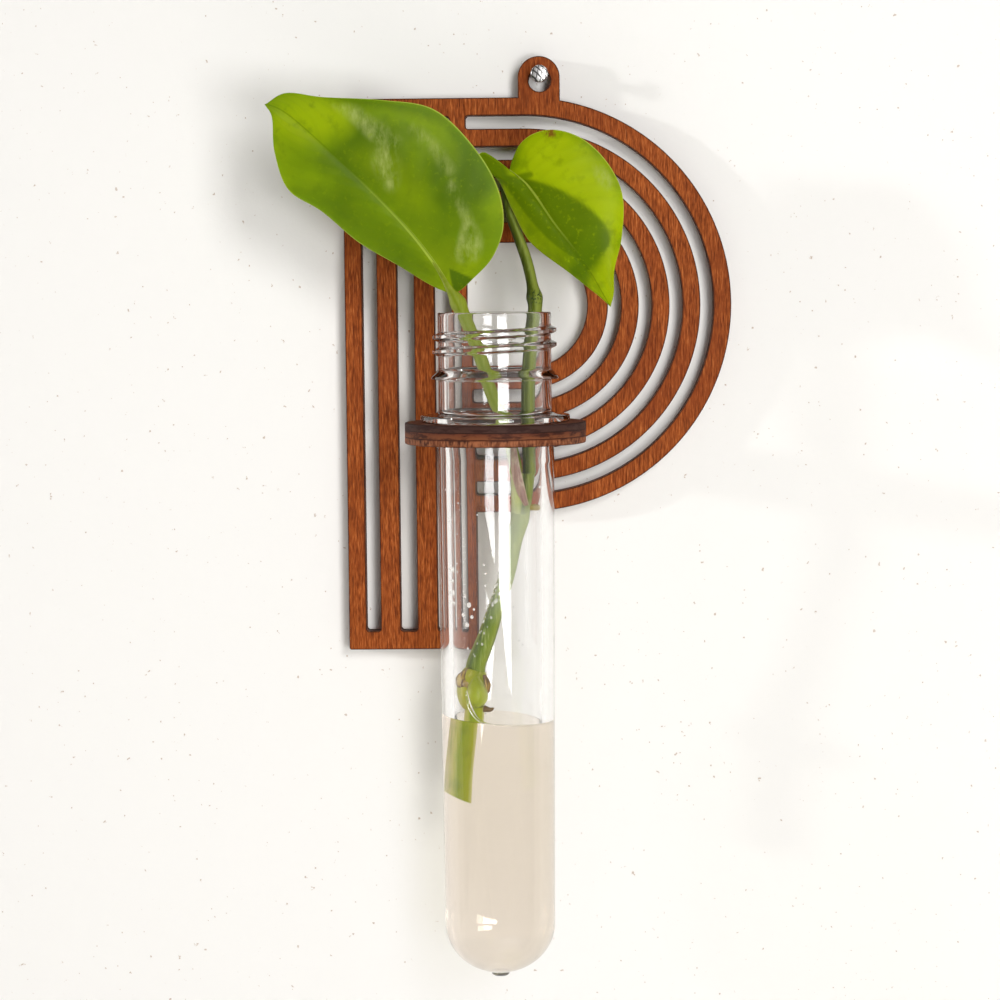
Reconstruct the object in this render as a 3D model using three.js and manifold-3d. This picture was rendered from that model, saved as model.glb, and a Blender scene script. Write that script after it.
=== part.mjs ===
// Wall-mounted hydroponic planter. A pierced plywood plate hangs on a nail, and a ring plugged
// into it carries a clear moulded test tube with water and a two-leaf vine cutting.
// Millimetres, X to the right, Z up, Y into the wall. The origin is on the nail's axis, at the wall.
// Inside the planter group, heights are counted from the centre of the hanging hole.

import * as THREE from 'three';
import { mergeVertices } from 'three/addons/utils/BufferGeometryUtils.js';
import Module from 'manifold-3d';

const wasm = await Module();
wasm.setup();

// Driving dimensions of the nail
const nailHeadRadius = 1.95;
const nailHeadThickness = 0.9;
const nailHeadCrown = 0.25;
const nailShankRadius = 1.05;
const nailStandOff = 9.0; // wall to the underside of the crown
const nailInWall = 14;
const nailPoint = 2.6;

// Driving dimensions of the plywood plate
const ply = 4.7;
const hangHoleRadius = 2.5;
const hangClearance = 0.3; // shank to the top of the hole
const tabRadius = 4.75;
const tabOffset = -0.2;
const tabRise = 0.75; // tab's round end, centre above the hole
const plateTop = -3.7;
const plateHeight = 125.7;
const railHeight = 4.2;
const barWidths = [4.0, 4.6, 4.7, 3.6];
const barGaps = [3.3, 3.85, 3.85];
const slotCorner = 0.7;
const plateCorner = 0.5;

// Driving dimensions of the half-ring bowl
const bowlLead = 13.0; // straight run from the last bar to the bowl's centre
const bowlCentreX = -3.9;
const counterRadius = 14.3;
const innerBand = 4.7;
const bandWidth = 4.0;
const bandGap = 3.0;
const bandCount = 5; // counting the inner one

// Driving dimensions of the holder ring
const ringRadius = 20;
const ringX = -10.3;
const ringFromPlate = 0.5; // back of the round to the face of the plate
const ringTop = -76.1;
const tubeInRing = 0.3; // radial clearance
const shoulderWidth = 17;
const tenonWidth = 11.4;
const tenonPlay = 0.1;

// Driving dimensions of the tube, heights above the underside of its flange
const bodyTopRadius = 13.0;
const bodyEndRadius = 12.3;
const bodyWall = 2.8;
const domeRise = 11.0;
const domeWall = 2.6;
const bodyLength = 123.4; // flange to the outside of the round end
const gateRadius = 2.0;
const gateHeight = 0.8;
const flangeReach = 3.5; // beyond the top of the body
const flangeThickness = 1.5;
const flangeSlope = 0.4;
const neckRadius = 12.5;
const neckWall = 1.63;
const neckHeight = 24.1;
const lipRound = 0.5;
const beadReach = 1.5; // beyond the neck
const beadBottom = 9.4;
const beadRim = 0.6;
const beadHeight = 2.2; // with the slope above its rim
const boreStep = 9.0; // depth below the flange over which the bore narrows

// Driving dimensions of the water
const waterDepth = 66.2; // flange to the surface
const waterTilt = 4; // degrees, as the tube hangs on its nail
const waterFilm = 0.2; // gap to the bore
const stemClearance = 0.3;

// Driving dimensions of the cutting
const stemRadius = 2.05;
const cutStemRadius = 2.25;
const cutStemFlare = 0.15; // added at the cut end
const cutSlope = 0.55; // fall of the slanted cut for each millimetre across
const nodeRadius = 3.1;
const lowerNodeHalf = 3.6; // half its height
const upperNodeHalf = 4.0;
const petioleRadius = 1.35;
const petioleGap = 0.4; // between the two stalks where they fork
const collarAt = 0.58; // share of the right stalk's length
const collarSwell = 0.4;
const leafThickness = 0.6;
const seatGap = 0.3;
const squareEnd = 1.2; // length over which a stalk leaves its seat square to it
const leanGap = 0.12; // between a leaning piece and the wall that it leans on

// Facets
const arcFacet = 2.4; // length of one facet of a drawn arc
const cornerFacets = 3; // least number of facets of an arc
const turnSteps = 44;
const domeSteps = 9;
const stalkSides = 12;
const stemSteps = 8;
const upperStemSteps = 16;
const leftPetioleSteps = 20;
const rightPetioleSteps = 36;
const leafSteps = 22; // along the midrib
const leafSideSteps = 5; // from the midrib to a margin

// Colours and finishes
const woodFace = new THREE.MeshStandardMaterial({ color: 0x96501f, roughness: 0.6, metalness: 0 });
const woodEdge = new THREE.MeshStandardMaterial({ color: 0x5a2a17, roughness: 0.7, metalness: 0 });
const clearPlastic = new THREE.MeshStandardMaterial({
  color: 0xe8eeee, roughness: 0.05, metalness: 0, transparent: true, opacity: 0.3,
});
const tintedWater = new THREE.MeshStandardMaterial({
  color: 0xe6dfbf, roughness: 0.02, metalness: 0, transparent: true, opacity: 0.4,
});
const polishedSteel = new THREE.MeshStandardMaterial({ color: 0xb9bbbf, roughness: 0.2, metalness: 1 });
const darkLeaf = new THREE.MeshStandardMaterial({ color: 0x5f8a12, roughness: 0.4, metalness: 0 });
const limeLeaf = new THREE.MeshStandardMaterial({ color: 0x8fb813, roughness: 0.4, metalness: 0 });
const greenStem = new THREE.MeshStandardMaterial({ color: 0x6f9a2a, roughness: 0.45, metalness: 0 });
const darkStem = new THREE.MeshStandardMaterial({ color: 0x35571c, roughness: 0.5, metalness: 0 });
const paleNode = new THREE.MeshStandardMaterial({ color: 0xc3c77a, roughness: 0.5, metalness: 0 });

// A flat form drawn with Y up, or a form spun about Y, is stood up so that its Y becomes Z.
const standUp = new THREE.Matrix4().set(
  1, 0, 0, 0,
  0, 0, -1, 0,
  0, 1, 0, 0,
  0, 0, 0, 1,
);

// Welds equal corners and drops the triangles that shrink to nothing at a pole.
function weld(geometry) {
  const bare = geometry.clone();
  bare.deleteAttribute('normal');
  bare.deleteAttribute('uv');
  const merged = mergeVertices(bare, 1e-5);
  const corners = merged.index.array;
  const kept = [];
  for (let i = 0; i < corners.length; i += 3) {
    const [a, b, c] = [corners[i], corners[i + 1], corners[i + 2]];
    if (a !== b && b !== c && c !== a) {
      kept.push(a, b, c);
    }
  }
  merged.setIndex(kept);
  return merged;
}

function toSolid(geometry) {
  const welded = weld(geometry);
  return new wasm.Manifold(new wasm.Mesh({
    numProp: 3,
    vertProperties: new Float32Array(welded.attributes.position.array),
    triVerts: new Uint32Array(welded.index.array),
  }));
}

function toGeometry(solid) {
  const mesh = solid.getMesh();
  const geometry = new THREE.BufferGeometry();
  geometry.setAttribute('position', new THREE.BufferAttribute(mesh.vertProperties, 3));
  geometry.setIndex(Array.from(mesh.triVerts));
  geometry.computeVertexNormals();
  return geometry;
}

function part(name, geometry, material) {
  const mesh = new THREE.Mesh(geometry, material);
  mesh.name = name;
  return mesh;
}

// A solid of revolution from a profile of radius and height.
function turned(profile) {
  const points = profile.map(([radius, height]) => new THREE.Vector2(radius, height));
  return new THREE.LatheGeometry(points, turnSteps);
}

// Points of a quarter of an ellipse from the axis out to its full radius, below the given height.
function dome(radius, rise, baseHeight, startRadius = 0) {
  const start = Math.asin(startRadius / radius);
  const points = [];
  for (let i = 0; i <= domeSteps; i += 1) {
    const angle = start + ((Math.PI / 2 - start) * i) / domeSteps;
    points.push([radius * Math.sin(angle), baseHeight - rise * Math.cos(angle)]);
  }
  return points;
}

// Nail: flat crowned head, straight shank, four-sided wire point simplified to a cone.
function nailGeometry() {
  const headFront = -nailStandOff;
  const headBack = headFront + nailHeadThickness;
  return turned([
    [0, nailInWall],
    [nailShankRadius, nailInWall - nailPoint],
    [nailShankRadius, headBack + 0.2],
    [nailHeadRadius - 0.1, headBack],
    [nailHeadRadius, headBack - 0.15],
    [nailHeadRadius, headFront + 0.15],
    [nailHeadRadius - 0.15, headFront],
    [nailHeadRadius * 0.6, headFront - nailHeadCrown * 0.7],
    [0, headFront - nailHeadCrown],
  ].reverse());
}

const quarter = Math.PI / 2;

// Plate
const stemWidth = barWidths.reduce((sum, w) => sum + w, 0) + barGaps.reduce((sum, w) => sum + w, 0);
const stemRight = bowlCentreX - bowlLead;
const stemLeft = stemRight - stemWidth;
const plateBottom = plateTop - plateHeight;
const bowlRadius = counterRadius + innerBand + (bandCount - 1) * (bandGap + bandWidth);
const bowlCentreZ = plateTop - bowlRadius;

// Draws an arc as facets, onwards from the path's last point.
function arc(path, x, z, radius, from, to) {
  const length = radius * Math.abs(to - from);
  const steps = Math.max(cornerFacets, Math.ceil(length / arcFacet));
  for (let i = 0; i <= steps; i += 1) {
    const angle = from + ((to - from) * i) / steps;
    path.lineTo(x + radius * Math.cos(angle), z + radius * Math.sin(angle));
  }
}

function fullCircle(path, x, z, radius) {
  path.moveTo(x + radius, z);
  const steps = Math.max(16, Math.ceil((radius * Math.PI * 2) / arcFacet));
  for (let i = 1; i < steps; i += 1) {
    const angle = (i / steps) * Math.PI * 2;
    path.lineTo(x + radius * Math.cos(angle), z + radius * Math.sin(angle));
  }
}

// Outline of the stem, the bowl and the hanging tab.
function plateOutline() {
  const tabLeft = tabOffset - tabRadius;
  const tabRight = tabOffset + tabRadius;
  const tabFoot = Math.acos((tabRight - bowlCentreX) / bowlRadius);
  const shape = new THREE.Shape();
  shape.moveTo(stemLeft + plateCorner, plateBottom);
  arc(shape, stemRight - plateCorner, plateBottom + plateCorner, plateCorner, -quarter, 0);
  shape.lineTo(stemRight, bowlCentreZ - bowlRadius);
  arc(shape, bowlCentreX, bowlCentreZ, bowlRadius, -quarter, tabFoot);
  arc(shape, tabOffset, tabRise, tabRadius, 0, 2 * quarter);
  shape.lineTo(tabLeft, plateTop);
  arc(shape, stemLeft + plateCorner, plateTop - plateCorner, plateCorner, quarter, 2 * quarter);
  arc(shape, stemLeft + plateCorner, plateBottom + plateCorner, plateCorner, 2 * quarter, 3 * quarter);
  return shape;
}

// Upright slot between two bars, with small round corners.
function barSlot(left, right) {
  const top = plateTop - railHeight;
  const bottom = plateBottom + railHeight;
  const r = slotCorner;
  const slot = new THREE.Path();
  slot.moveTo(left + r, bottom);
  arc(slot, right - r, bottom + r, r, -quarter, 0);
  arc(slot, right - r, top - r, r, 0, quarter);
  arc(slot, left + r, top - r, r, quarter, 2 * quarter);
  arc(slot, left + r, bottom + r, r, 2 * quarter, 3 * quarter);
  return slot;
}

// Slot between two bands of the bowl: a half ring with a straight lead at each end.
function bandSlot(inner, outer) {
  const r = slotCorner;
  const [x, z] = [bowlCentreX, bowlCentreZ];
  const slot = new THREE.Path();
  slot.moveTo(stemRight + r, z - outer);
  arc(slot, x, z, outer, -quarter, quarter);
  arc(slot, stemRight + r, z + outer - r, r, quarter, 2 * quarter);
  arc(slot, stemRight + r, z + inner + r, r, 2 * quarter, 3 * quarter);
  arc(slot, x, z, inner, quarter, -quarter);
  arc(slot, stemRight + r, z - inner - r, r, quarter, 2 * quarter);
  arc(slot, stemRight + r, z - outer + r, r, 2 * quarter, 3 * quarter);
  return slot;
}

// The open middle of the bowl.
function counterOpening() {
  const r = slotCorner;
  const [x, z] = [bowlCentreX, bowlCentreZ];
  const opening = new THREE.Path();
  opening.moveTo(stemRight + r, z - counterRadius);
  arc(opening, x, z, counterRadius, -quarter, quarter);
  arc(opening, stemRight + r, z + counterRadius - r, r, quarter, 2 * quarter);
  arc(opening, stemRight + r, z - counterRadius + r, r, 2 * quarter, 3 * quarter);
  return opening;
}

// Block that fills the ring's tenon hole, used to cut the mortise.
function tenonBlock(play) {
  const depth = ply + 2;
  const block = new THREE.BoxGeometry(tenonWidth + 2 * play, depth, ply + 2 * play);
  block.translate(ringX, -ply / 2, ringTop - ply / 2);
  return block;
}

function plateGeometry() {
  const shape = plateOutline();
  let left = stemLeft;
  barGaps.forEach((gap, i) => {
    left += barWidths[i];
    shape.holes.push(barSlot(left, left + gap));
    left += gap;
  });
  shape.holes.push(counterOpening());
  for (let band = 1; band < bandCount; band += 1) {
    const inner = counterRadius + innerBand + (band - 1) * (bandGap + bandWidth);
    shape.holes.push(bandSlot(inner, inner + bandGap));
  }
  const hangHole = new THREE.Path();
  fullCircle(hangHole, 0, 0, hangHoleRadius);
  shape.holes.push(hangHole);
  const board = new THREE.ExtrudeGeometry(shape, { depth: ply, bevelEnabled: false });
  board.applyMatrix4(standUp);
  return toGeometry(toSolid(board).subtract(toSolid(tenonBlock(tenonPlay))));
}

// Ring: a round with a square shoulder against the plate and a tenon through it.
const ringY = -ply - ringFromPlate - ringRadius;

function ringGeometry() {
  const half = shoulderWidth / 2;
  const shoulderAngle = Math.acos(half / ringRadius);
  const round = new THREE.Shape();
  round.moveTo(ringX + tenonWidth / 2, -ply);
  round.lineTo(ringX + tenonWidth / 2, 0);
  round.lineTo(ringX - tenonWidth / 2, 0);
  round.lineTo(ringX - tenonWidth / 2, -ply);
  round.lineTo(ringX - half, -ply);
  arc(round, ringX, ringY, ringRadius, 2 * quarter - shoulderAngle, 4 * quarter + shoulderAngle);
  round.lineTo(ringX + half, -ply);
  const hole = new THREE.Path();
  fullCircle(hole, ringX, ringY, bodyTopRadius + tubeInRing);
  round.holes.push(hole);
  const ring = new THREE.ExtrudeGeometry(round, { depth: ply, bevelEnabled: false });
  ring.translate(0, 0, ringTop - ply);
  return toGeometry(toSolid(ring));
}

// Tube: a moulded bottle blank with a bead and a flange on its neck and a round closed end.
const bodyEnd = -bodyLength;
const domeBase = bodyEnd + domeRise;
const boreTop = -boreStep;
const boreTopRadius = bodyTopRadius - bodyWall;
const boreEndRadius = bodyEndRadius - bodyWall;
const boreFloor = bodyEnd + domeWall;
const neckBore = neckRadius - neckWall;
const flangeRadius = bodyTopRadius + flangeReach;
const beadRadius = neckRadius + beadReach;
const beadTop = beadBottom + beadHeight;

function boreRadiusAt(height) {
  const share = (boreTop - height) / (boreTop - domeBase);
  return boreTopRadius + (boreEndRadius - boreTopRadius) * share;
}

function tubeGeometry() {
  const outside = [
    [0, bodyEnd - gateHeight],
    [gateRadius - 0.3, bodyEnd - gateHeight],
    ...dome(bodyEndRadius, domeRise, domeBase, gateRadius),
    [bodyTopRadius, 0],
    [flangeRadius - 0.25, 0],
    [flangeRadius, 0.25],
    [flangeRadius, flangeThickness - 0.25],
    [flangeRadius - 0.35, flangeThickness],
    [neckRadius + 0.8, flangeThickness + flangeSlope],
    [neckRadius + 0.1, flangeThickness + flangeSlope + 0.6],
    [neckRadius, beadBottom - 0.2],
    [neckRadius + 0.2, beadBottom],
    [beadRadius - 0.15, beadBottom],
    [beadRadius, beadBottom + 0.15],
    [beadRadius, beadBottom + beadRim],
    [neckRadius, beadTop],
    [neckRadius, neckHeight - lipRound],
    [neckRadius - lipRound, neckHeight],
  ];
  const inside = [
    [neckBore + lipRound * 0.6, neckHeight],
    [neckBore, neckHeight - lipRound],
    [neckBore, 0],
    [boreTopRadius, boreTop],
    ...dome(boreEndRadius, domeBase - boreFloor, domeBase).reverse(),
  ];
  const tube = turned([...outside, ...inside]);
  tube.applyMatrix4(standUp);
  return toGeometry(toSolid(tube));
}

// Water: fills the bore up to a surface that leans with the hang of the planter.
function waterGeometry(standing) {
  const tilt = Math.tan((waterTilt * Math.PI) / 180);
  const floorRise = domeBase - boreFloor - waterFilm;
  const column = turned([
    ...dome(boreEndRadius - waterFilm, floorRise, domeBase),
    [boreRadiusAt(-waterDepth) - waterFilm, -waterDepth],
    [0, -waterDepth],
  ]);
  column.applyMatrix4(standUp);
  const position = column.attributes.position;
  for (let i = 0; i < position.count; i += 1) {
    if (Math.abs(position.getZ(i) + waterDepth) < 1e-4) {
      position.setZ(i, -waterDepth - position.getX(i) * tilt);
    }
  }
  const water = standing.reduce((solid, piece) => solid.subtract(toSolid(piece)), toSolid(column));
  return toGeometry(water);
}

// Stalk: round sections along a smooth curve, with a radius for each share of its length.
function stalkGeometry(points, radiusAt, steps) {
  const curve = new THREE.CatmullRomCurve3(points.map(([x, y, z]) => new THREE.Vector3(x, y, z)));
  const frames = curve.computeFrenetFrames(steps, false);
  const positions = [];
  const corners = [];
  for (let i = 0; i <= steps; i += 1) {
    const centre = curve.getPointAt(i / steps);
    const radius = radiusAt(i / steps);
    for (let j = 0; j < stalkSides; j += 1) {
      const angle = (j / stalkSides) * Math.PI * 2;
      const corner = centre.clone();
      corner.addScaledVector(frames.normals[i], radius * Math.cos(angle));
      corner.addScaledVector(frames.binormals[i], radius * Math.sin(angle));
      positions.push(corner.x, corner.y, corner.z);
    }
  }
  const ring = (i, j) => i * stalkSides + (j % stalkSides);
  for (let i = 0; i < steps; i += 1) {
    for (let j = 0; j < stalkSides; j += 1) {
      corners.push(ring(i, j), ring(i, j + 1), ring(i + 1, j + 1));
      corners.push(ring(i, j), ring(i + 1, j + 1), ring(i + 1, j));
    }
  }
  for (let j = 1; j < stalkSides - 1; j += 1) {
    corners.push(ring(0, 0), ring(0, j + 1), ring(0, j));
    corners.push(ring(steps, 0), ring(steps, j), ring(steps, j + 1));
  }
  const geometry = new THREE.BufferGeometry();
  geometry.setAttribute('position', new THREE.Float32BufferAttribute(positions, 3));
  geometry.setIndex(corners);
  geometry.computeVertexNormals();
  return geometry;
}

// Leaf: a blade stretched over its midrib and its two margins, arched between them, and given
// an even thickness along the way that it faces. Left and right are as seen from its base.
function leafGeometry({ midrib, left, right, facing, arch }) {
  const smooth = (points) => new THREE.CatmullRomCurve3(points.map((p) => new THREE.Vector3(...p)));
  const [spine, leftEdge, rightEdge] = [smooth(midrib), smooth(left), smooth(right)];
  const away = new THREE.Vector3(...facing).normalize();
  const columns = 2 * leafSideSteps + 1;
  const positions = [];
  for (const side of [1, -1]) {
    for (let i = 0; i <= leafSteps; i += 1) {
      const t = i / leafSteps;
      const centre = spine.getPoint(t);
      for (let j = -leafSideSteps; j <= leafSideSteps; j += 1) {
        const share = Math.abs(j) / leafSideSteps;
        const edge = j < 0 ? leftEdge.getPoint(t) : rightEdge.getPoint(t);
        const point = centre.clone().lerp(edge, share);
        const swell = arch * Math.sin(Math.PI * share) * Math.sin(Math.PI * t);
        point.addScaledVector(away, swell + (side * leafThickness) / 2);
        positions.push(point.x, point.y, point.z);
      }
    }
  }
  const sheet = (leafSteps + 1) * columns;
  const front = (i, j) => i * columns + j;
  const back = (i, j) => sheet + i * columns + j;
  const corners = [];
  const quad = (a, b, c, d) => corners.push(a, b, c, a, c, d);
  for (let i = 0; i < leafSteps; i += 1) {
    for (let j = 0; j < columns - 1; j += 1) {
      quad(front(i, j), front(i, j + 1), front(i + 1, j + 1), front(i + 1, j));
      quad(back(i, j), back(i + 1, j), back(i + 1, j + 1), back(i, j + 1));
    }
    quad(front(i, 0), front(i + 1, 0), back(i + 1, 0), back(i, 0));
    quad(front(i, columns - 1), back(i, columns - 1), back(i + 1, columns - 1), front(i + 1, columns - 1));
  }
  const geometry = new THREE.BufferGeometry();
  geometry.setAttribute('position', new THREE.Float32BufferAttribute(positions, 3));
  geometry.setIndex(corners);
  return toGeometry(toSolid(geometry));
}

// The cutting stands in the tube and leans on its walls. Its places are counted from the tube's
// axis and from the underside of its flange.
const bodyRoom = Math.min(boreTopRadius, boreEndRadius) - nodeRadius - leanGap;
const neckRoom = neckBore - petioleRadius - collarSwell - leanGap;
const inBody = (share) => share * bodyRoom;
const inNeck = (share) => share * neckRoom;
const upNeck = (share) => share * neckHeight;

const cutEnd = [inBody(-1.11), 1, -85.9];
const lowerNode = [inBody(-0.92), 1, -59.5];
const upperNode = [inBody(1), 0.3, -15.9];
const lowerNodeFoot = lowerNode[2] - lowerNodeHalf - seatGap;
const lowerSeat = lowerNode[2] + lowerNodeHalf + seatGap;
const upperNodeFoot = upperNode[2] - upperNodeHalf - seatGap;
const upperSeat = upperNode[2] + upperNodeHalf + seatGap;

// Cut stem: nearly straight, with the slanted cut of a knife at its lower end.
const cutStemPoints = [
  cutEnd,
  [inBody(-1.05), 1, -77.9],
  [inBody(-0.94), 1, -69.9],
  [inBody(-0.85), 1, lowerNodeFoot],
];

function cutStemGeometry(extra = 0) {
  const thinning = (t) => cutStemRadius + extra + cutStemFlare * (1 - t);
  const stem = stalkGeometry(cutStemPoints, thinning, stemSteps);
  if (extra === 0) {
    const position = stem.attributes.position;
    for (let j = 0; j < stalkSides; j += 1) {
      const across = position.getX(j) - cutEnd[0];
      position.setZ(j, cutEnd[2] + (cutStemRadius - across) * cutSlope);
    }
  }
  return stem;
}

// Node: a swollen joint of the stem with flat seats for what grows below and above it.
function nodeGeometry([x, y, z], half, radius, seat) {
  const swell = (t) => seat + (radius - seat) * Math.sin(Math.PI * t) ** 0.6;
  return stalkGeometry([[x, y, z - half], [x, y, z], [x, y, z + half]], swell, stemSteps);
}

const upperStemPoints = [
  [inBody(-0.8), 1, lowerSeat],
  [inBody(-0.78), 1, lowerSeat + squareEnd],
  [inBody(-0.41), 0.9, -48.4],
  [inBody(-0.11), 0.7, -42.6],
  [inBody(0.37), 0.5, -33.4],
  [inBody(0.62), 0.4, -25.9],
  [inBody(0.84), 0.3, upperNodeFoot - squareEnd],
  [inBody(0.86), 0.3, upperNodeFoot],
];

// Two leaf stalks fork from the upper node, side by side.
const fork = inBody(0.95);
const forkHalf = petioleRadius + petioleGap / 2;
const leftPetiolePoints = [
  [fork - forkHalf, 0.2, upperSeat],
  [fork - forkHalf, 0.2, upperSeat + squareEnd],
  [inNeck(0.38), 0.1, -6.3],
  [inNeck(0.21), 0, upNeck(0.09)],
  [inNeck(-0.03), -0.1, upNeck(0.29)],
  [inNeck(-0.27), -0.2, upNeck(0.52)],
  [inNeck(-0.5), -0.5, upNeck(0.75)],
  [inNeck(-0.73), -0.9, upNeck(0.97)],
  [inNeck(-0.73) - 2.1, -1.65, upNeck(1) + 3.7],
];
const rightPetiolePoints = [
  [fork + forkHalf, 0.4, upperSeat],
  [inNeck(0.81), 0.3, upNeck(0.2)],
  [inNeck(0.84), 0.2, upNeck(0.51)],
  [inNeck(0.92), 0.4, upNeck(0.83)],
  [inNeck(1), 1.2, upNeck(1) + 1.3],
  [inNeck(1) - 0.6, 2.4, upNeck(1) + 5.9],
  [inNeck(1) - 1.7, 3.3, upNeck(1) + 10.9],
  [inNeck(1) - 3.7, 4, upNeck(1) + 16.9],
  [inNeck(1) - 5.4, 4.3, upNeck(1) + 22],
  [inNeck(1) - 6.3, 4, upNeck(1) + 28.4],
];

// Each leaf is drawn from its base, which lies this far from the end of its stalk.
const leftLeaf = {
  seat: [-0.3, -0.35, 0.3],
  midrib: [
    [0, 0, 0], [-2.9, -2.3, 5.3], [-8.3, -5.3, 12.8], [-15.9, -7.8, 21.2], [-26.6, -9.8, 31.5],
    [-35.9, -10.8, 39.5], [-39.5, -11.3, 41],
  ],
  left: [
    [0, 0, 0], [-3.6, 0.2, 1.4], [-12.1, -1.3, 6.5], [-20.1, -2.8, 11.3], [-28.2, -4.8, 18.2],
    [-35.2, -6.8, 22.9], [-37.9, -8.8, 31.1], [-38.2, -10.8, 38.8], [-39.5, -11.3, 41],
  ],
  right: [
    [0, 0, 0], [1.6, -0.8, 0.8], [4.3, -3.3, 3.1], [9, -5.8, 8], [11.5, -6.8, 14.7],
    [10.5, -7.8, 22.6], [5.2, -8.8, 31.9], [-3.2, -9.8, 39.8], [-13.9, -10.8, 41.7],
    [-27.4, -11.3, 42.6], [-35.3, -11.3, 43.4], [-39.5, -11.3, 41],
  ],
  facing: [-0.1, -0.95, 0.3],
  arch: 1.2,
};
const rightLeaf = {
  seat: [0.8, -1.8, 2.5],
  midrib: [
    [0, 0, 0], [4, -1.5, -3.3], [9.6, -3.5, -11.4], [17.3, -6, -21.5], [22, -9, -29.9],
  ],
  left: [
    [0, 0, 0], [0.7, 0, 2.4], [2.4, -0.5, 5.8], [5.4, -1, 8.1], [10, -1.5, 8.9],
    [16.2, -2.5, 6.9], [21.5, -3, 1.9], [24.8, -3.5, -5.2], [24.7, -4.5, -14.5],
    [22.9, -6.5, -22.2], [22.7, -8.2, -27.2], [22, -9, -29.9],
  ],
  right: [
    [0, 0, 0], [-2.6, 0.5, 2.5], [-5.9, 1, 4.3], [-7.7, 1, 2.3], [-5.3, 0.5, 0.1],
    [-2.6, 0, -1.9], [0.6, -0.5, -8.5], [4.6, -1.5, -15.7], [13.9, -5, -23.1],
    [19.7, -8, -27.8], [22, -9, -29.9],
  ],
  facing: [0.1, -0.97, 0.25],
  arch: 1.0,
};

function leafOn(stalk, leaf) {
  const tip = stalk[stalk.length - 1];
  const base = tip.map((value, i) => value + leaf.seat[i]);
  const blade = leafGeometry(leaf);
  blade.translate(...base);
  return blade;
}

function cuttingParts() {
  const plain = (radius) => () => radius;
  const collared = (t) => petioleRadius + collarSwell * Math.exp(-(((t - collarAt) / 0.03) ** 2));
  return [
    part('lower_stem', cutStemGeometry(), greenStem),
    part('lower_node', nodeGeometry(lowerNode, lowerNodeHalf, nodeRadius, cutStemRadius), paleNode),
    part('upper_stem', stalkGeometry(upperStemPoints, plain(stemRadius), upperStemSteps), greenStem),
    part('upper_node', nodeGeometry(upperNode, upperNodeHalf, nodeRadius, stemRadius), paleNode),
    part('left_petiole', stalkGeometry(leftPetiolePoints, plain(petioleRadius), leftPetioleSteps), greenStem),
    part('right_petiole', stalkGeometry(rightPetiolePoints, collared, rightPetioleSteps), darkStem),
    part('left_leaf', leafOn(leftPetiolePoints, leftLeaf), darkLeaf),
    part('right_leaf', leafOn(rightPetiolePoints, rightLeaf), limeLeaf),
  ];
}

// What stands in the water, grown by the clearance that the water keeps.
function wetParts() {
  const node = nodeGeometry(
    lowerNode, lowerNodeHalf + stemClearance, nodeRadius + stemClearance, cutStemRadius + stemClearance,
  );
  const stem = stalkGeometry(upperStemPoints, () => stemRadius + stemClearance, upperStemSteps);
  return [cutStemGeometry(stemClearance), node, stem];
}

// Assembly
const tubeParts = new THREE.Group();
tubeParts.position.set(ringX, ringY, ringTop);
tubeParts.add(part('tube', tubeGeometry(), clearPlastic));
tubeParts.add(part('water', waterGeometry(wetParts()), tintedWater));
cuttingParts().forEach((piece) => tubeParts.add(piece));

const planter = new THREE.Group();
planter.position.z = -(hangHoleRadius - nailShankRadius - hangClearance);
planter.add(part('wall_plate', plateGeometry(), woodFace));
planter.add(part('holder_ring', ringGeometry(), woodEdge));
planter.add(tubeParts);

const object = new THREE.Group();
object.add(part('wall_nail', toGeometry(toSolid(nailGeometry())), polishedSteel));
object.add(planter);

export default object;
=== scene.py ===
"""Looks of the wall-mounted hydroponic planter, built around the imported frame.

Places and sizes are in millimetres in the row frame (X right, Y into the wall, Z up) and are
turned into metres when a mesh is made. The origin is the nail's axis at the wall.
"""
import functools
import math
import random

import bmesh
import bpy
import numpy as np
from mathutils import Matrix, Vector
from mathutils.geometry import tessellate_polygon


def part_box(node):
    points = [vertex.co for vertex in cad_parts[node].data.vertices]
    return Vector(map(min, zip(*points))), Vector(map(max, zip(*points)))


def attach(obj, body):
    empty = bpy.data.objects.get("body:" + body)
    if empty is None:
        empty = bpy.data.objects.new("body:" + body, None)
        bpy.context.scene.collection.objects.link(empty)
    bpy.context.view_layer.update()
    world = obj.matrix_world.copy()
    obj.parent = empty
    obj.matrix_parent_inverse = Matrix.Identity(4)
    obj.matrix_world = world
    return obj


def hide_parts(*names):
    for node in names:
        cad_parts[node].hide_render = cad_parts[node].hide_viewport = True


MM = 0.001
TURN = 2 * math.pi
HALF_PI = math.pi / 2
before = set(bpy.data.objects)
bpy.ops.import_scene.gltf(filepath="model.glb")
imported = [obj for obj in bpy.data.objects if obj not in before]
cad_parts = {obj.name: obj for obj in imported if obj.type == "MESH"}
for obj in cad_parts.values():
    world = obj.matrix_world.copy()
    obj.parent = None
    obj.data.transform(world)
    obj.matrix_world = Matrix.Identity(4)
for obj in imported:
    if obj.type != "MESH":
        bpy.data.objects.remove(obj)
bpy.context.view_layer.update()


def cad(node):
    """Lowest and highest corner of a CAD node, in millimetres."""
    low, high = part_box(node)
    return low / MM, high / MM


# Places taken from the frame. FLANGE_Z is the underside of the tube's flange.
plate_low, plate_high = cad("wall_plate")
ring_low, ring_high = cad("holder_ring")
tube_low, tube_high = cad("tube")
nail_low, nail_high = cad("wall_nail")
TUBE_X = (tube_low.x + tube_high.x) / 2
TUBE_Y = (tube_low.y + tube_high.y) / 2
FLANGE_Z = ring_high.z
NECK_TOP = tube_high.z
TUBE_END = tube_low.z

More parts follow.
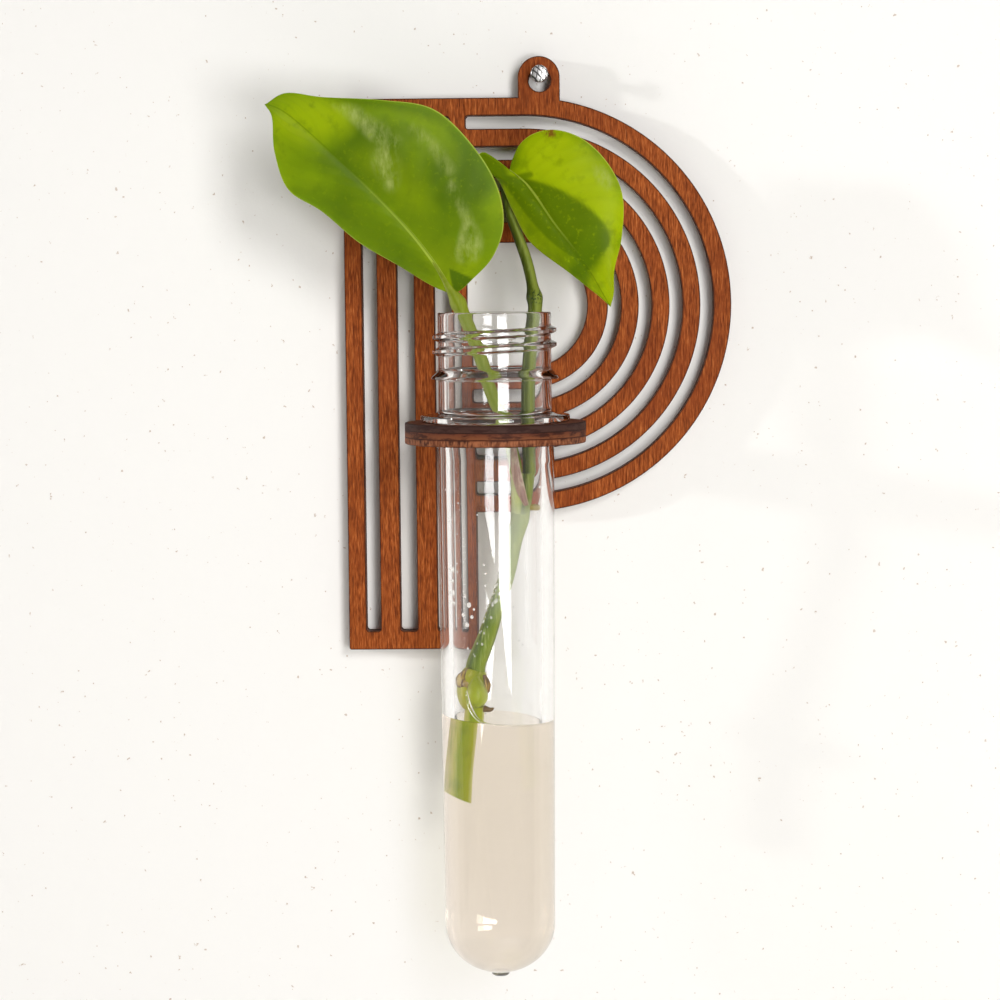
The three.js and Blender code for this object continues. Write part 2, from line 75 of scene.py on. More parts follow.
# Driving dimensions of the plate, as in the solids
PLY = 4.7
TAB_RADIUS, TAB_OFFSET, TAB_RISE = 4.75, -0.2, 0.75
HOLE_RADIUS = 2.5
HOLE_Z = plate_high.z - TAB_RADIUS - TAB_RISE
PLATE_DROP = 3.7
PLATE_TOP = HOLE_Z - PLATE_DROP
PLATE_BOTTOM = plate_low.z
RAIL = 4.2
BAR_WIDTHS = (4.0, 4.6, 4.7, 3.6)
BAR_GAPS = (3.3, 3.85, 3.85)
SLOT_CORNER = 0.7
PLATE_CORNER = 0.5
BOWL_X = -3.9
BOWL_LEAD = 13.0
COUNTER_RADIUS = 14.3
INNER_BAND, BAND_WIDTH, BAND_GAP, BAND_COUNT = 4.7, 4.0, 3.0, 5
BOWL_RADIUS = COUNTER_RADIUS + INNER_BAND + (BAND_COUNT - 1) * (BAND_WIDTH + BAND_GAP)
BOWL_Z = PLATE_TOP - BOWL_RADIUS
STEM_RIGHT = BOWL_X - BOWL_LEAD
STEM_LEFT = STEM_RIGHT - sum(BAR_WIDTHS) - sum(BAR_GAPS)

# Driving dimensions of the ring and the tube, as in the solids
RING_RADIUS, RING_HOLE = 20, 13.3
SHOULDER, TENON = 17.0, 11.4
BODY_TOP, BODY_END, BODY_WALL = 13.0, 12.3, 2.8
DOME_RISE, DOME_WALL = 11.0, 2.6
GATE_RADIUS, GATE_HEIGHT = 2.0, 0.8
FLANGE_RADIUS, FLANGE_THICK = 16.5, 1.5
NECK_RADIUS, NECK_BORE = 12.5, 10.87
BEAD_RADIUS, BEAD_BOTTOM, BEAD_TOP = 14.0, 9.4, 11.6
BORE_STEP = 9.0
DOME_BASE = TUBE_END + GATE_HEIGHT + DOME_RISE
BORE_FLOOR = TUBE_END + GATE_HEIGHT + DOME_WALL
BORE_END = BODY_END - BODY_WALL

# What only the visual model has: rounded edges, the thread, the form of the water's surface,
# the bore's length and the stem's radius as the drops take them, and the leaves' rims and veins
ARC_STEP = 0.35
PLATE_EDGE, RING_EDGE, CHAR_RIM = 0.12, 0.3, 0.3
TUBE_CORNER = 0.35
THREAD_RADIUS, THREAD_PITCH, THREAD_TURNS = 13.7, 3.18, 1.7
THREAD_START, THREAD_FROM = 15.14, math.radians(150)
THREAD_CREST, THREAD_FLANK, THREAD_FADE = 0.3, 0.75, 0.1
THREAD_ZONE = (14.0, 21.8)
WATER_DEPTH, WATER_SLOPE = 66.2, math.tan(math.radians(4))
WATER_INTO_WALL, WATER_RADIUS = 0.02, 9.55
MENISCUS, STEM_MENISCUS, MENISCUS_REACH = 0.35, 1.6, 0.8
WET_STEM, WET_STEM_RADIUS = (-5.5, 1.0), 2.2
RIM_START, RIM_END = 229, 366
BUD_CLIMB, BUD_CLIMB_WIDTH = 7.0, math.radians(9)
DROP_BORE_LENGTH, DROP_FROM_STEM = 93.0, 1.72
LEAF_THICKNESS, LEAF_RIM = 0.42, 0.05
SIDE_VEINS, SIDE_VEIN_LEAN = 15.0, 4.2

# In metres: the camera, fitted to the photographed plate, ring and tube, and the stage.
# CARD is the place that the lamps point at.
CAMERA_PLACE = (0.0034, -0.6393, -0.0462)
YAW, PITCH, ROLL = (math.radians(a) for a in (-1.198, 4.512, -0.566))
LENS = 100.2
WALL_Y, FLOOR_Z = 0.0004, -0.55
CARD = (-0.01, -0.02, -0.09)


# Mesh helpers
def new_object(name, data):
    obj = bpy.data.objects.new(name, data)
    bpy.context.scene.collection.objects.link(obj)
    return obj


def new_mesh(name, points, faces, material):
    """An object with a mesh from points in metres."""
    mesh = bpy.data.meshes.new(name)
    mesh.from_pydata(points, [], faces)
    mesh.validate()
    mesh.materials.append(material)
    return new_object(name, mesh)


def piece(name, points, faces, body, material, smooth=True, replaces=()):
    """Makes a mesh piece from points in millimetres, and lets it ride on a body."""
    obj = new_mesh(name, [Vector(p) * MM for p in points], faces, material)
    mesh = obj.data
    bm = bmesh.new()
    bm.from_mesh(mesh)
    bmesh.ops.recalc_face_normals(bm, faces=bm.faces)
    bm.to_mesh(mesh)
    bm.free()
    if smooth:
        mesh.shade_smooth()
        mesh.set_sharp_from_angle(angle=math.radians(42))
    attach(obj, body)
    if replaces:
        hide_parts(*replaces)
    return obj


def point_values(obj, **named):
    """Keeps a number per point of a piece under each name, for its material to read."""
    for name, values in named.items():
        layer = obj.data.attributes.new(name, "FLOAT", "POINT")
        layer.data.foreach_set("value", np.array(values, np.float32))


def pairs(items):
    return zip(items, items[1:])


def turns(count):
    """Angles at even steps round a full turn."""
    return [TURN * j / count for j in range(count)]


def around(radius, angle, z):
    """A place at a radius from the tube's axis."""
    return (TUBE_X + radius * math.cos(angle), TUBE_Y + radius * math.sin(angle), z)


def unit(vectors):
    return vectors / np.linalg.norm(vectors, axis=1)[:, None]


def smooth_line(points, count):
    """count + 1 points at even steps along a smooth curve through the given points."""
    def share(u, low, high, a, b):
        return (high - u) / (high - low) * a + (u - low) / (high - low) * b

    p = np.array(points, float)
    ends = np.vstack([2 * p[0] - p[1], p, 2 * p[-1] - p[-2]])
    dense = []
    for a, b, c, d in zip(ends, ends[1:], ends[2:], ends[3:]):
        t1 = np.linalg.norm(b - a) ** 0.5
        t2 = t1 + np.linalg.norm(c - b) ** 0.5
        t3 = t2 + np.linalg.norm(d - c) ** 0.5
        u = np.linspace(t1, t2, 40, endpoint=False)[:, None]
        middle = share(u, t1, t2, b, c)
        first = share(u, 0, t2, share(u, 0, t1, a, b), middle)
        second = share(u, t1, t3, middle, share(u, t2, t3, c, d))
        dense.append(share(u, t1, t2, first, second))
    dense = np.vstack([*dense, p[-1:]])
    lengths = np.concatenate([[0], np.cumsum(np.linalg.norm(np.diff(dense, axis=0), axis=1))])
    where = np.linspace(0, lengths[-1], count + 1)
    return np.stack([np.interp(where, lengths, dense[:, k]) for k in range(3)], axis=1)


def grid_faces(rows, columns, closed_columns=False, start=0):
    """Quads between rows of points, each row with the same number of columns."""
    faces = []
    for i in range(rows - 1):
        for j in range(columns if closed_columns else columns - 1):
            k = (j + 1) % columns
            a, b = start + i * columns, start + (i + 1) * columns
            faces.append((a + j, a + k, b + k, b + j))
    return faces


def round_faces(first, rows, sides, start_tip=None, end_tip=None):
    """Faces of a round body of rows of points. Each end is a flat disc, or closes at a tip."""
    faces = grid_faces(rows, sides, closed_columns=True, start=first)
    for row, tip in ((0, start_tip), (rows - 1, end_tip)):
        ring = [first + row * sides + j for j in range(sides)]
        if tip is None:
            faces.append(tuple(ring))
        else:
            faces += [(a, b, tip) for a, b in pairs(ring + ring[:1])]
    return faces


def sheet_faces(rows, columns, close_ends):
    """Faces of two sheets of points, one behind the other, closed along their sides."""
    sheet = rows * columns
    border = [(i * columns + j, (i + 1) * columns + j)
              for j in (0, columns - 1) for i in range(rows - 1)]
    if close_ends:
        border += [(i * columns + j, i * columns + j + 1)
                   for i in (0, rows - 1) for j in range(columns - 1)]
    faces = grid_faces(rows, columns) + grid_faces(rows, columns, start=sheet)
    return faces + [(a, b, sheet + b, sheet + a) for a, b in border]


def stalk(points, radius_at, sides=32, count=60, groove=0.0, shape=None, slant=0.0):
    """A round stalk along a curve; slant tips its first end up to the left.

    Returns its points, its faces, and for each point its share of the length and its normal."""
    centres = smooth_line(points, count)
    tangents = unit(np.gradient(centres, axis=0))
    side = np.cross(tangents[0], (0, 1, 0))
    verts, shares, normals = [], [], []
    for i, (centre, tangent) in enumerate(zip(centres, tangents)):
        side = side - tangent * np.dot(side, tangent)
        side /= np.linalg.norm(side)
        up = np.cross(tangent, side)
        t = i / count
        for angle in turns(sides):
            r = radius_at(t) * (1 - groove * max(0.0, math.cos(angle + HALF_PI)) ** 6)
            if shape:
                r *= shape(t, angle)
            out = math.cos(angle) * side + math.sin(angle) * up
            lean = -slant * r * out[0] * max(0.0, 1 - 3 * t) * tangent[2]
            verts.append(centre + r * out + lean * tangent)
            shares.append(t)
            normals.append(out)
    return verts, round_faces(0, count + 1, sides), shares, normals


def inside(points, outline, soft):
    """How much each point (x, z) lies inside a smoothed outline, 0 to 1, over a soft edge."""
    loop = smooth_line([(x, 0, z) for x, z in [*outline, outline[0]]], 12 * len(outline))[:, ::2]
    p = np.asarray(points, float)
    within = np.zeros(len(p), bool)
    nearest = np.full(len(p), 1e9)
    for a, b in pairs(loop):
        run = b - a
        share = np.clip(((p - a) @ run) / max(run @ run, 1e-12), 0, 1)
        nearest = np.minimum(nearest, np.linalg.norm(p - a - share[:, None] * run, axis=1))
        if a[1] != b[1]:
            crossed = (a[1] > p[:, 1]) != (b[1] > p[:, 1])
            within ^= crossed & (p[:, 0] < a[0] + run[0] * (p[:, 1] - a[1]) / run[1])
    share = np.clip(np.where(within, nearest, -nearest) / soft + 0.5, 0, 1)
    return share * share * (3 - 2 * share)


# Materials. A colour is written as a screen shows it, in three values from 0 to 255, or in the
# shaders' own linear values, and then with a fourth one.
def screen(colour):
    """A screen colour as the shaders want it. Anything else comes back as it is."""
    if not isinstance(colour, tuple) or len(colour) != 3:
        return colour
    shares = [value / 255 for value in colour]
    return (*(s / 12.92 if s <= 0.04045 else ((s + 0.055) / 1.055) ** 2.4 for s in shares), 1.0)


class Nodes:
    """Makes the nodes of a material or of the world."""

    def __init__(self, tree):
        self.tree = tree

    def wire(self, node, inputs):
        """Links or sets a node's inputs, by name or number."""
        for key, value in inputs.items():
            if isinstance(value, bpy.types.NodeSocket):
                self.tree.links.new(value, node.inputs[key])
            else:
                node.inputs[key].default_value = value

    def add(self, kind, inputs=None, **settings):
        made = self.tree.nodes.new(kind)
        for key, value in settings.items():
            setattr(made, key, value)
        self.wire(made, inputs or {})
        return made

    @functools.cached_property
    def spot(self):
        """The place on the piece at rest, in metres."""
        return self.add("ShaderNodeTexCoord").outputs["Object"]

    def part(self, vector, axis):
        return self.add("ShaderNodeSeparateXYZ", {0: vector}).outputs[axis]

    def mapped(self, **inputs):
        """The place, scaled or turned."""
        return self.add("ShaderNodeMapping", {"Vector": self.spot, **inputs}).outputs["Vector"]

    def values(self, name):
        """The numbers of that name that are kept on the piece's points."""
        return self.add("ShaderNodeAttribute", attribute_name=name).outputs["Fac"]

    def maths(self, operation, a, b=0.0, c=0.0):
        return self.add("ShaderNodeMath", {0: a, 1: b, 2: c}, operation=operation).outputs[0]

    def times(self, a, b):
        return self.maths("MULTIPLY", a, b)

    def fit(self, a, factor, offset):
        return self.maths("MULTIPLY_ADD", a, factor, offset)

    def between(self, value, low, high):
        """0 below low, 1 above high, smooth between them."""
        inputs = {"Value": value, "From Min": low, "From Max": high}
        made = self.add("ShaderNodeMapRange", inputs, interpolation_type="SMOOTHSTEP")
        return made.outputs["Result"]

    def mix(self, share, a, b, blend="MIX"):
        inputs = {0: share, 6: screen(a), 7: screen(b)}
        return self.add("ShaderNodeMix", inputs, data_type="RGBA", blend_type=blend).outputs[2]

    def over(self, colour, other, mask, low, high, amount):
        """The other colour over the first by an amount, where the mask goes from low to high."""
        return self.mix(self.times(self.between(mask, low, high), amount), colour, other)

    def ramp(self, share, stops):
        """A colour ramp from (place, colour) pairs."""
        made = self.add("ShaderNodeValToRGB", {"Fac": share})
        elements = made.color_ramp.elements
        stops = [(place, screen(colour)) for place, colour in stops]
        elements[0].position, elements[0].color = stops[0]
        elements[1].position, elements[1].color = stops[-1]
        for place, colour in stops[1:-1]:
            elements.new(place).color = colour
        return made.outputs["Color"]

    def noise(self, scale, detail=3.0, roughness=0.5, stretch=None, distortion=0.0):
        """Noise over the piece, drawn out where the stretch along an axis is under 1."""
        return self.add("ShaderNodeTexNoise", {
            "Vector": self.mapped(Scale=stretch) if stretch else self.spot, "Scale": scale,
            "Detail": detail, "Roughness": roughness, "Distortion": distortion}).outputs["Fac"]

    def bump(self, height, strength, distance):
        inputs = {"Height": height, "Strength": strength, "Distance": distance}
        return self.add("ShaderNodeBump", inputs).outputs["Normal"]

    def let_through(self, shader, share, tint=(1, 1, 1, 1)):
        """Puts a clear tint in the shader's place where share is 1."""
        clear = self.add("ShaderNodeBsdfTransparent", {"Color": tint}).outputs[0]
        both = self.add("ShaderNodeMixShader", {0: share, 1: shader.outputs[0], 2: clear})
        self.wire(self.tree.nodes["Material Output"], {"Surface": both.outputs[0]})


def new_material(name):
    material = bpy.data.materials.new(name)
    material.use_nodes = True
    n = Nodes(material.node_tree)
    return material, n, n.tree.nodes["Principled BSDF"]


def stained_ply(name, grain, layers, tone):
    """Stained plywood: streaked faces, dark burnt edges in three plies, charred rims.

    grain is the stretch of the face's grain, layers the axis across the plies, and tone
    how much of the dark edge's stain lies on the faces too."""
    material, n, shader = new_material(name)
    streaks = n.noise(2300, 3.0, 0.65, grain, 0.1)
    dashes = n.noise(4200, 2.0, 0.6, tuple(g if g == 1 else 0.12 for g in grain))
    pores = n.noise(4300, 1.0, 0.5, grain)
    patches = n.noise(90, 2.0, 0.5, tuple(0.5 + g * 0.5 for g in grain))
    both = n.fit(dashes, 0.55, n.times(streaks, 0.45))
    face = n.ramp(both, [
        (0.36, (106, 46, 10)), (0.45, (138, 66, 22)), (0.52, (155, 77, 30)),
        (0.58, (174, 91, 38)), (0.68, (202, 118, 58))])
    face = n.over(face, (82, 34, 10), pores, 0.58, 0.66, 0.65)
    face = n.over(face, (118, 48, 16), patches, 0.35, 0.75, 0.45)
    char = n.noise(700, 4.0, 0.65, (1, 1, 0.25) if layers == "Y" else (0.3, 0.3, 1))
    fibres = n.noise(1500, 3.0, 0.6, (1, 1, 0.3))
    start = (plate_low.y if layers == "Y" else ring_low.z) * MM
    level = n.maths("DIVIDE", n.maths("SUBTRACT", n.part(n.spot, layers), start), PLY * MM)
    level = n.maths("ADD", level, n.fit(char, 0.08, -0.04))
    edge = n.ramp(level, [
        (0.0, (98, 56, 36)), (0.29, (112, 62, 38)), (0.33, (34, 14, 10)), (0.37, (124, 72, 44)),
        (0.61, (100, 54, 36)), (0.65, (34, 16, 14)), (0.69, (70, 46, 38)), (1.0, (60, 40, 36))])
    edge = n.over(edge, (46, 24, 20), char, 0.45, 0.62, 0.8)
    low = n.maths("SUBTRACT", 1.0, n.between(level, 0.22, 0.34))
    bare = n.times(n.between(fibres, 0.38, 0.66), low)
    edge = n.mix(n.times(bare, 0.6), edge, (184, 116, 78))
    stained = n.mix(tone, face, (66, 38, 28))
    charred = n.mix(n.between(n.values("burn"), 0.25, 0.9), stained, (40, 15, 7))
    relief = n.maths("SUBTRACT", both, n.times(pores, 0.4))
    n.wire(shader, {
        "Base Color": n.mix(n.values("side"), charred, edge),
        "Normal": n.bump(relief, 0.5, 0.00012),
        "Roughness": n.fit(both, -0.25, 0.72),
        "Specular IOR Level": 0.1,
    })
    return material


def see_through(name, colour, ior, roughness, shadow_tint, clearness=1.0):
    """Clear plastic or water: it bends what is behind it and lets the lamps through."""
    material, n, shader = new_material(name)
    n.wire(shader, {"Base Color": colour, "Transmission Weight": clearness, "IOR": ior,
                    "Roughness": roughness})
    path = n.add("ShaderNodeLightPath").outputs
    unbent = n.maths("MAXIMUM", path["Is Shadow Ray"], path["Is Diffuse Ray"])
    n.let_through(shader, unbent, shadow_tint)
    return material


def leaf_material(name, dark, middle, light, tip, vein, under):
    """A smooth leaf. Numbers kept on its points say where it is darker, paler, warmer or brown."""
    material, n, shader = new_material(name)
    along, off = n.values("along"), n.values("off")
    reach = n.maths("ABSOLUTE", n.values("across"))
    clouds = n.noise(45)
    fine = n.noise(900, 3.0, 0.6)
    streak_noise = n.noise(330, 5.0, 0.7, (1, 1, 0.35))
    colour = n.ramp(clouds, [(0.35, dark), (0.5, middle), (0.65, light)])
    # The warm numbers give a yellower tone; on the right leaf they also paint sunlight.
    colour = n.mix(n.values("warm"), colour, tip)
    # The dark numbers paint the left leaf's shadow on the right leaf and shade at the left leaf's
    # base, besides darker patches.
    colour = n.mix(n.values("dark"), colour, dark)
    side_veins = n.fit(along, SIDE_VEINS, n.times(reach, -SIDE_VEIN_LEAN))
    wave = n.maths("SINE", n.times(side_veins, TURN))
    colour = n.over(colour, dark, wave, 0.2, 1.0, 0.05)
    # Pale scuffs where the pale numbers say; on the left leaf they also paint its highlight
    # streaks.
    scuffs_and_highlight = n.times(n.values("pale"), n.between(streak_noise, 0.34, 0.68))
    colour = n.mix(n.times(scuffs_and_highlight, 0.55), colour, (180, 188, 112))
    colour = n.over(colour, light, fine, 0.56, 0.72, 0.3)
    colour = n.over(colour, dark, n.noise(260, 4.0, 0.6), 0.5, 0.7, 0.35)
    width = n.maths("MAXIMUM", n.fit(along, -0.5, 0.55), 0.13)
    rib = n.maths("LESS_THAN", n.maths("ABSOLUTE", off), width)
    shown = n.maths("MAXIMUM", n.fit(along, -1.5, 0.95), 0.0)
    colour = n.mix(n.times(rib, shown), colour, vein)
    line = n.maths("LESS_THAN", n.maths("ABSOLUTE", n.maths("SUBTRACT", off, 0.22)), 0.14)
    colour = n.mix(n.times(line, 0.45), colour, dark)
    colour = n.over(colour, vein, reach, 0.982, 0.996, 0.7)
    specked = n.times(n.values("brown"), n.between(streak_noise, 0.44, 0.54))
    colour = n.mix(specked, colour, (128, 84, 24))
    relief = n.maths("ADD", n.times(wave, 0.25), n.times(fine, 0.5))
    n.wire(shader, {
        "Base Color": n.mix(n.times(n.values("under"), 0.6), colour, under),
        "Normal": n.bump(relief, 0.25, 0.0002),
        "Roughness": n.fit(scuffs_and_highlight, 0.2, n.fit(clouds, 0.2, 0.32)),
        "Specular IOR Level": 0.06,
        "Subsurface Weight": 0.12,
        "Subsurface Radius": (0.4, 1.0, 0.1),
        "Subsurface Scale": 0.0015,
    })
    return material


def stem_material(name, sides, streak, roughness=0.42):
    """A fleshy stem: colours change round it, with fine lengthwise streaks.

    sides are (share, colour) pairs from its left side, 0, to its right side, 1."""
    material, n, shader = new_material(name)
    streaks = n.noise(1500, 3.0, 0.6, (1, 1, 0.1))
    blotches = n.noise(300, 3.0, 0.55)
    grains = n.noise(1900, 2.0, 0.6)
    turn = n.maths("ADD", n.values("turn"), n.fit(streaks, 0.3, -0.15))
    colour = n.over(n.ramp(turn, sides), streak, streaks, 0.5, 0.7, 0.6)
    darker = n.mix(1.0, colour, (0.6, 0.66, 0.45, 1), "MULTIPLY")
    colour = n.over(colour, darker, blotches, 0.5, 0.75, 0.5)
    rough = n.times(n.values("rough_skin"), n.between(grains, 0.5, 0.6))
    colour = n.mix(rough, colour, (44, 58, 30))
    n.wire(shader, {
        # Where the points say so, a pale whitish colour goes over the stem: a painted sheen of
        # reflected light.
        "Base Color": n.mix(n.values("pale_skin"), colour, (206, 212, 184)),
        "Normal": n.bump(streaks, 0.4, 0.0002),
        "Roughness": roughness,
        "Specular IOR Level": 0.12,
        "Subsurface Weight": 0.15,
        "Subsurface Radius": (0.5, 1.0, 0.2),
        "Subsurface Scale": 0.0012,
    })
    return material


def dry_skin_material(name, face, rim):
    """Thin dried plant skin with lengthwise veins and a darker rim."""
    material, n, shader = new_material(name)
    veins = n.noise(1300, 3.0, 0.6, (1, 1, 0.12))
    colour = n.mix(n.between(veins, 0.4, 0.65), face, rim)
    colour = n.mix(n.between(n.values("rim"), 0.6, 0.95), colour, rim)
    n.wire(shader, {
        "Base Color": n.over(colour, (214, 200, 168), n.noise(420, 3.0, 0.6), 0.5, 0.7, 0.5),
        "Normal": n.bump(veins, 0.5, 0.0002),
        "Roughness": 0.5,
        "Subsurface Weight": 0.1,
        "Subsurface Scale": 0.001,
    })
    return material


def nail_material():
    """Polished steel, its head scored two ways by the die that formed it, its shank painted dark
    as the shade under the head.
    """
    material, n, shader = new_material("nail_steel")

    def wave(vector, scale, distortion, direction):
        inputs = {"Vector": vector, "Scale": scale, "Distortion": distortion}
        made = n.add("ShaderNodeTexWave", inputs, wave_type="BANDS", bands_direction=direction)
        return made.outputs["Fac"]

    def behind_head(start, end):
        return n.between(n.part(n.spot, "Y"), (nail_low.y + start) * MM, (nail_low.y + end) * MM)

    scratches = n.noise(3000, 3.0, 0.5, (1, 1, 8))
    lines = n.between(wave(n.spot, 420.0, 1.5, "DIAGONAL"), 0.55, 0.95)
    crossing = n.between(wave(n.mapped(Rotation=(0, 1.35, 0)), 300.0, 2.0, "Z"), 0.75, 0.98)
    front = n.maths("SUBTRACT", 1.0, behind_head(0.35, 0.6))
    scored = n.times(n.maths("MAXIMUM", lines, crossing), front)
    colour = n.mix(n.times(scored, 0.9), (214, 214, 214), (46, 44, 42))
    relief = n.fit(scored, -1.0, n.times(scratches, 0.3))
    n.wire(shader, {
        # The shank behind the head is painted dark: painted shade under the head.
        "Base Color": n.mix(behind_head(1.0, 1.3), colour, (74, 68, 66)),
        "Metallic": 1.0,
        "Roughness": n.fit(scratches, 0.15, 0.22),
        "Normal": n.bump(relief, 0.3, 0.00004),
    })
    return material


PLATE_WOOD = stained_ply("plate_wood", (1, 1, 0.06), "Y", 0.0)
RING_WOOD = stained_ply("ring_wood", (0.06, 1, 1), "Z", 0.75)
WHITE = (1, 1, 1, 1)
CLEAR = see_through("clear_plastic", (0.99, 0.99, 0.99, 1), 1.52, 0.01, (0.945, 0.94, 0.93, 1))
WATER = see_through("water", (0.99, 0.905, 0.825, 1), 1.333, 0.0, (0.97, 0.965, 0.93, 1))
WATER_EDGE = see_through("water_edge", (0.97, 0.96, 0.93, 1), 1.333, 0.0, (0.98, 0.98, 0.96, 1))
WATER_TOP = see_through("water_top", WHITE, 1.01, 0.0, WHITE)
# The drops are half white rather than clear: painted glints.
DROP = see_through("water_drop", (1, 0.98, 0.95, 1), 1.333, 0.1, WHITE, 0.5)
LEFT_LEAF = leaf_material(
    "left_leaf", (80, 106, 6), (112, 138, 6), (132, 154, 8), (150, 170, 6), (168, 186, 70),
    (120, 150, 70))
RIGHT_LEAF = leaf_material(
    "right_leaf", (84, 110, 4), (150, 172, 4), (168, 188, 8), (172, 190, 10), (176, 190, 70),
    (140, 168, 80))
LEFT_STALK = stem_material("left_stalk", [
    (0.1, (150, 160, 76)), (0.4, (116, 132, 22)), (0.9, (138, 150, 42))], (146, 158, 62))
RIGHT_STALK = stem_material("right_stalk", [
    (0.1, (54, 62, 10)), (0.4, (80, 92, 20)), (0.64, (130, 142, 54)), (0.86, (120, 132, 50)),
    (1.0, (92, 104, 30))], (116, 130, 60))
STEM = stem_material("vine_stem", [
    (0.0, (154, 160, 84)), (0.16, (66, 86, 12)), (0.36, (90, 112, 20)), (0.62, (118, 138, 28)),
    (0.85, (140, 154, 40)), (1.0, (92, 112, 24))], (168, 178, 100))
UPPER_JOINT_SKIN = stem_material("upper_joint_skin", [
    (0.0, (210, 212, 166)), (0.3, (192, 198, 128)), (0.46, (150, 160, 84)), (0.54, (62, 70, 18)),
    (0.7, (84, 96, 24)), (0.86, (130, 142, 54)), (1.0, (124, 134, 62))], (150, 160, 84))
STUB_SKIN = stem_material("stub_skin", [
    (0.0, (150, 146, 66)), (0.5, (164, 146, 80)), (1.0, (170, 140, 84))], (190, 170, 116))
CUT_STEM_SKIN = stem_material("cut_stem_skin", [
    (0.0, (202, 192, 126)), (0.22, (180, 180, 84)), (0.36, (132, 150, 0)), (0.6, (146, 158, 4)),
    (0.84, (160, 166, 24)), (1.0, (214, 208, 146))], (136, 156, 12), 0.7)
NODE_SKIN = stem_material("node_skin", [
    (0.0, (184, 178, 92)), (0.35, (168, 168, 36)), (0.7, (132, 148, 8)), (1.0, (170, 172, 64))],
    (200, 194, 112))
BUD_SKIN = stem_material("bud_skin", [
    (0.0, (190, 192, 110)), (0.3, (160, 170, 36)), (0.7, (156, 168, 30)), (1.0, (186, 190, 100))],
    (170, 178, 60), 0.25)
BROWN_TIP = stem_material("brown_tip", [
    (0.0, (150, 150, 60)), (0.4, (112, 84, 50)), (1.0, (70, 48, 34))], (130, 104, 70))
BROWN_SKIN = dry_skin_material("brown_skin", (166, 138, 52), (92, 62, 26))
GREY_SKIN = dry_skin_material("grey_skin", (138, 104, 92), (176, 150, 130))
NAIL = nail_material()


# Plywood boards
def arc_points(x, z, radius, start, end):
    steps = max(4, math.ceil(abs(end - start) * radius / ARC_STEP))
    angles = [start + (end - start) * i / steps for i in range(steps + 1)]
    return [(x + radius * math.cos(a), z + radius * math.sin(a)) for a in angles]


def corner(x, z, radius, quarter):
    """A corner's arc: quarter -1 at the bottom right, 0 top right, 1 top left, 2 bottom left."""
    return arc_points(x, z, radius, quarter * HALF_PI, (quarter + 1) * HALF_PI)


def plate_outline():
    left, right, r = STEM_LEFT + PLATE_CORNER, STEM_RIGHT - PLATE_CORNER, PLATE_CORNER
    tab_foot = math.acos((TAB_OFFSET + TAB_RADIUS - BOWL_X) / BOWL_RADIUS)
    loop = [(left, PLATE_BOTTOM)]
    loop += corner(right, PLATE_BOTTOM + r, r, -1)
    loop.append((STEM_RIGHT, BOWL_Z - BOWL_RADIUS))
    loop += arc_points(BOWL_X, BOWL_Z, BOWL_RADIUS, -HALF_PI, tab_foot)
    loop += arc_points(TAB_OFFSET, HOLE_Z + TAB_RISE, TAB_RADIUS, 0, math.pi)
    loop.append((TAB_OFFSET - TAB_RADIUS, PLATE_TOP))
    loop += corner(left, PLATE_TOP - r, r, 1)
    loop += corner(left, PLATE_BOTTOM + r, r, 2)[:-1]
    return loop


def bar_slot(left, right):
    r = SLOT_CORNER
    bottom, top = PLATE_BOTTOM + RAIL + r, PLATE_TOP - RAIL - r
    left, right = left + r, right - r
    return [*corner(right, bottom, r, -1), *corner(right, top, r, 0), *corner(left, top, r, 1),
            *corner(left, bottom, r, 2)]


def band_slot(inner, outer):
    """A half-ring slot, or the open middle where inner is 0."""
    left, r = STEM_RIGHT + SLOT_CORNER, SLOT_CORNER
    loop = arc_points(BOWL_X, BOWL_Z, outer, -HALF_PI, HALF_PI)
    loop += corner(left, BOWL_Z + outer - r, r, 1)
    if inner:
        loop += corner(left, BOWL_Z + inner + r, r, 2)
        loop += arc_points(BOWL_X, BOWL_Z, inner, HALF_PI, -HALF_PI)
        loop += corner(left, BOWL_Z - inner - r, r, 1)
    return loop + corner(left, BOWL_Z - outer + r, r, 2)


def tidy_loop(loop, least=0.02):
    """Leaves out points that lie on top of the one before."""
    kept = [loop[0]]
    for p in loop[1:]:
        if math.dist(p, kept[-1]) > least:
            kept.append(p)
    if math.dist(kept[0], kept[-1]) <= least:
        kept.pop()
    return kept


def inset(loop, distance, hole):
    """The loop moved into the board by a distance."""
    p = np.array(loop)
    following = np.roll(p, -1, axis=0)
    area = np.sum(p[:, 0] * following[:, 1] - p[:, 1] * following[:, 0])
    way = 1.0 if (area > 0) != hole else -1.0
    n1, n2 = (np.stack([-run[:, 1], run[:, 0]], axis=1) * way
              for run in (unit(p - np.roll(p, 1, axis=0)), unit(following - p)))
    n = unit(n1 + n2)
    reach = np.clip(np.sum(n * n1, axis=1), 0.5, 1.0)
    return p + n * (distance / reach)[:, None]


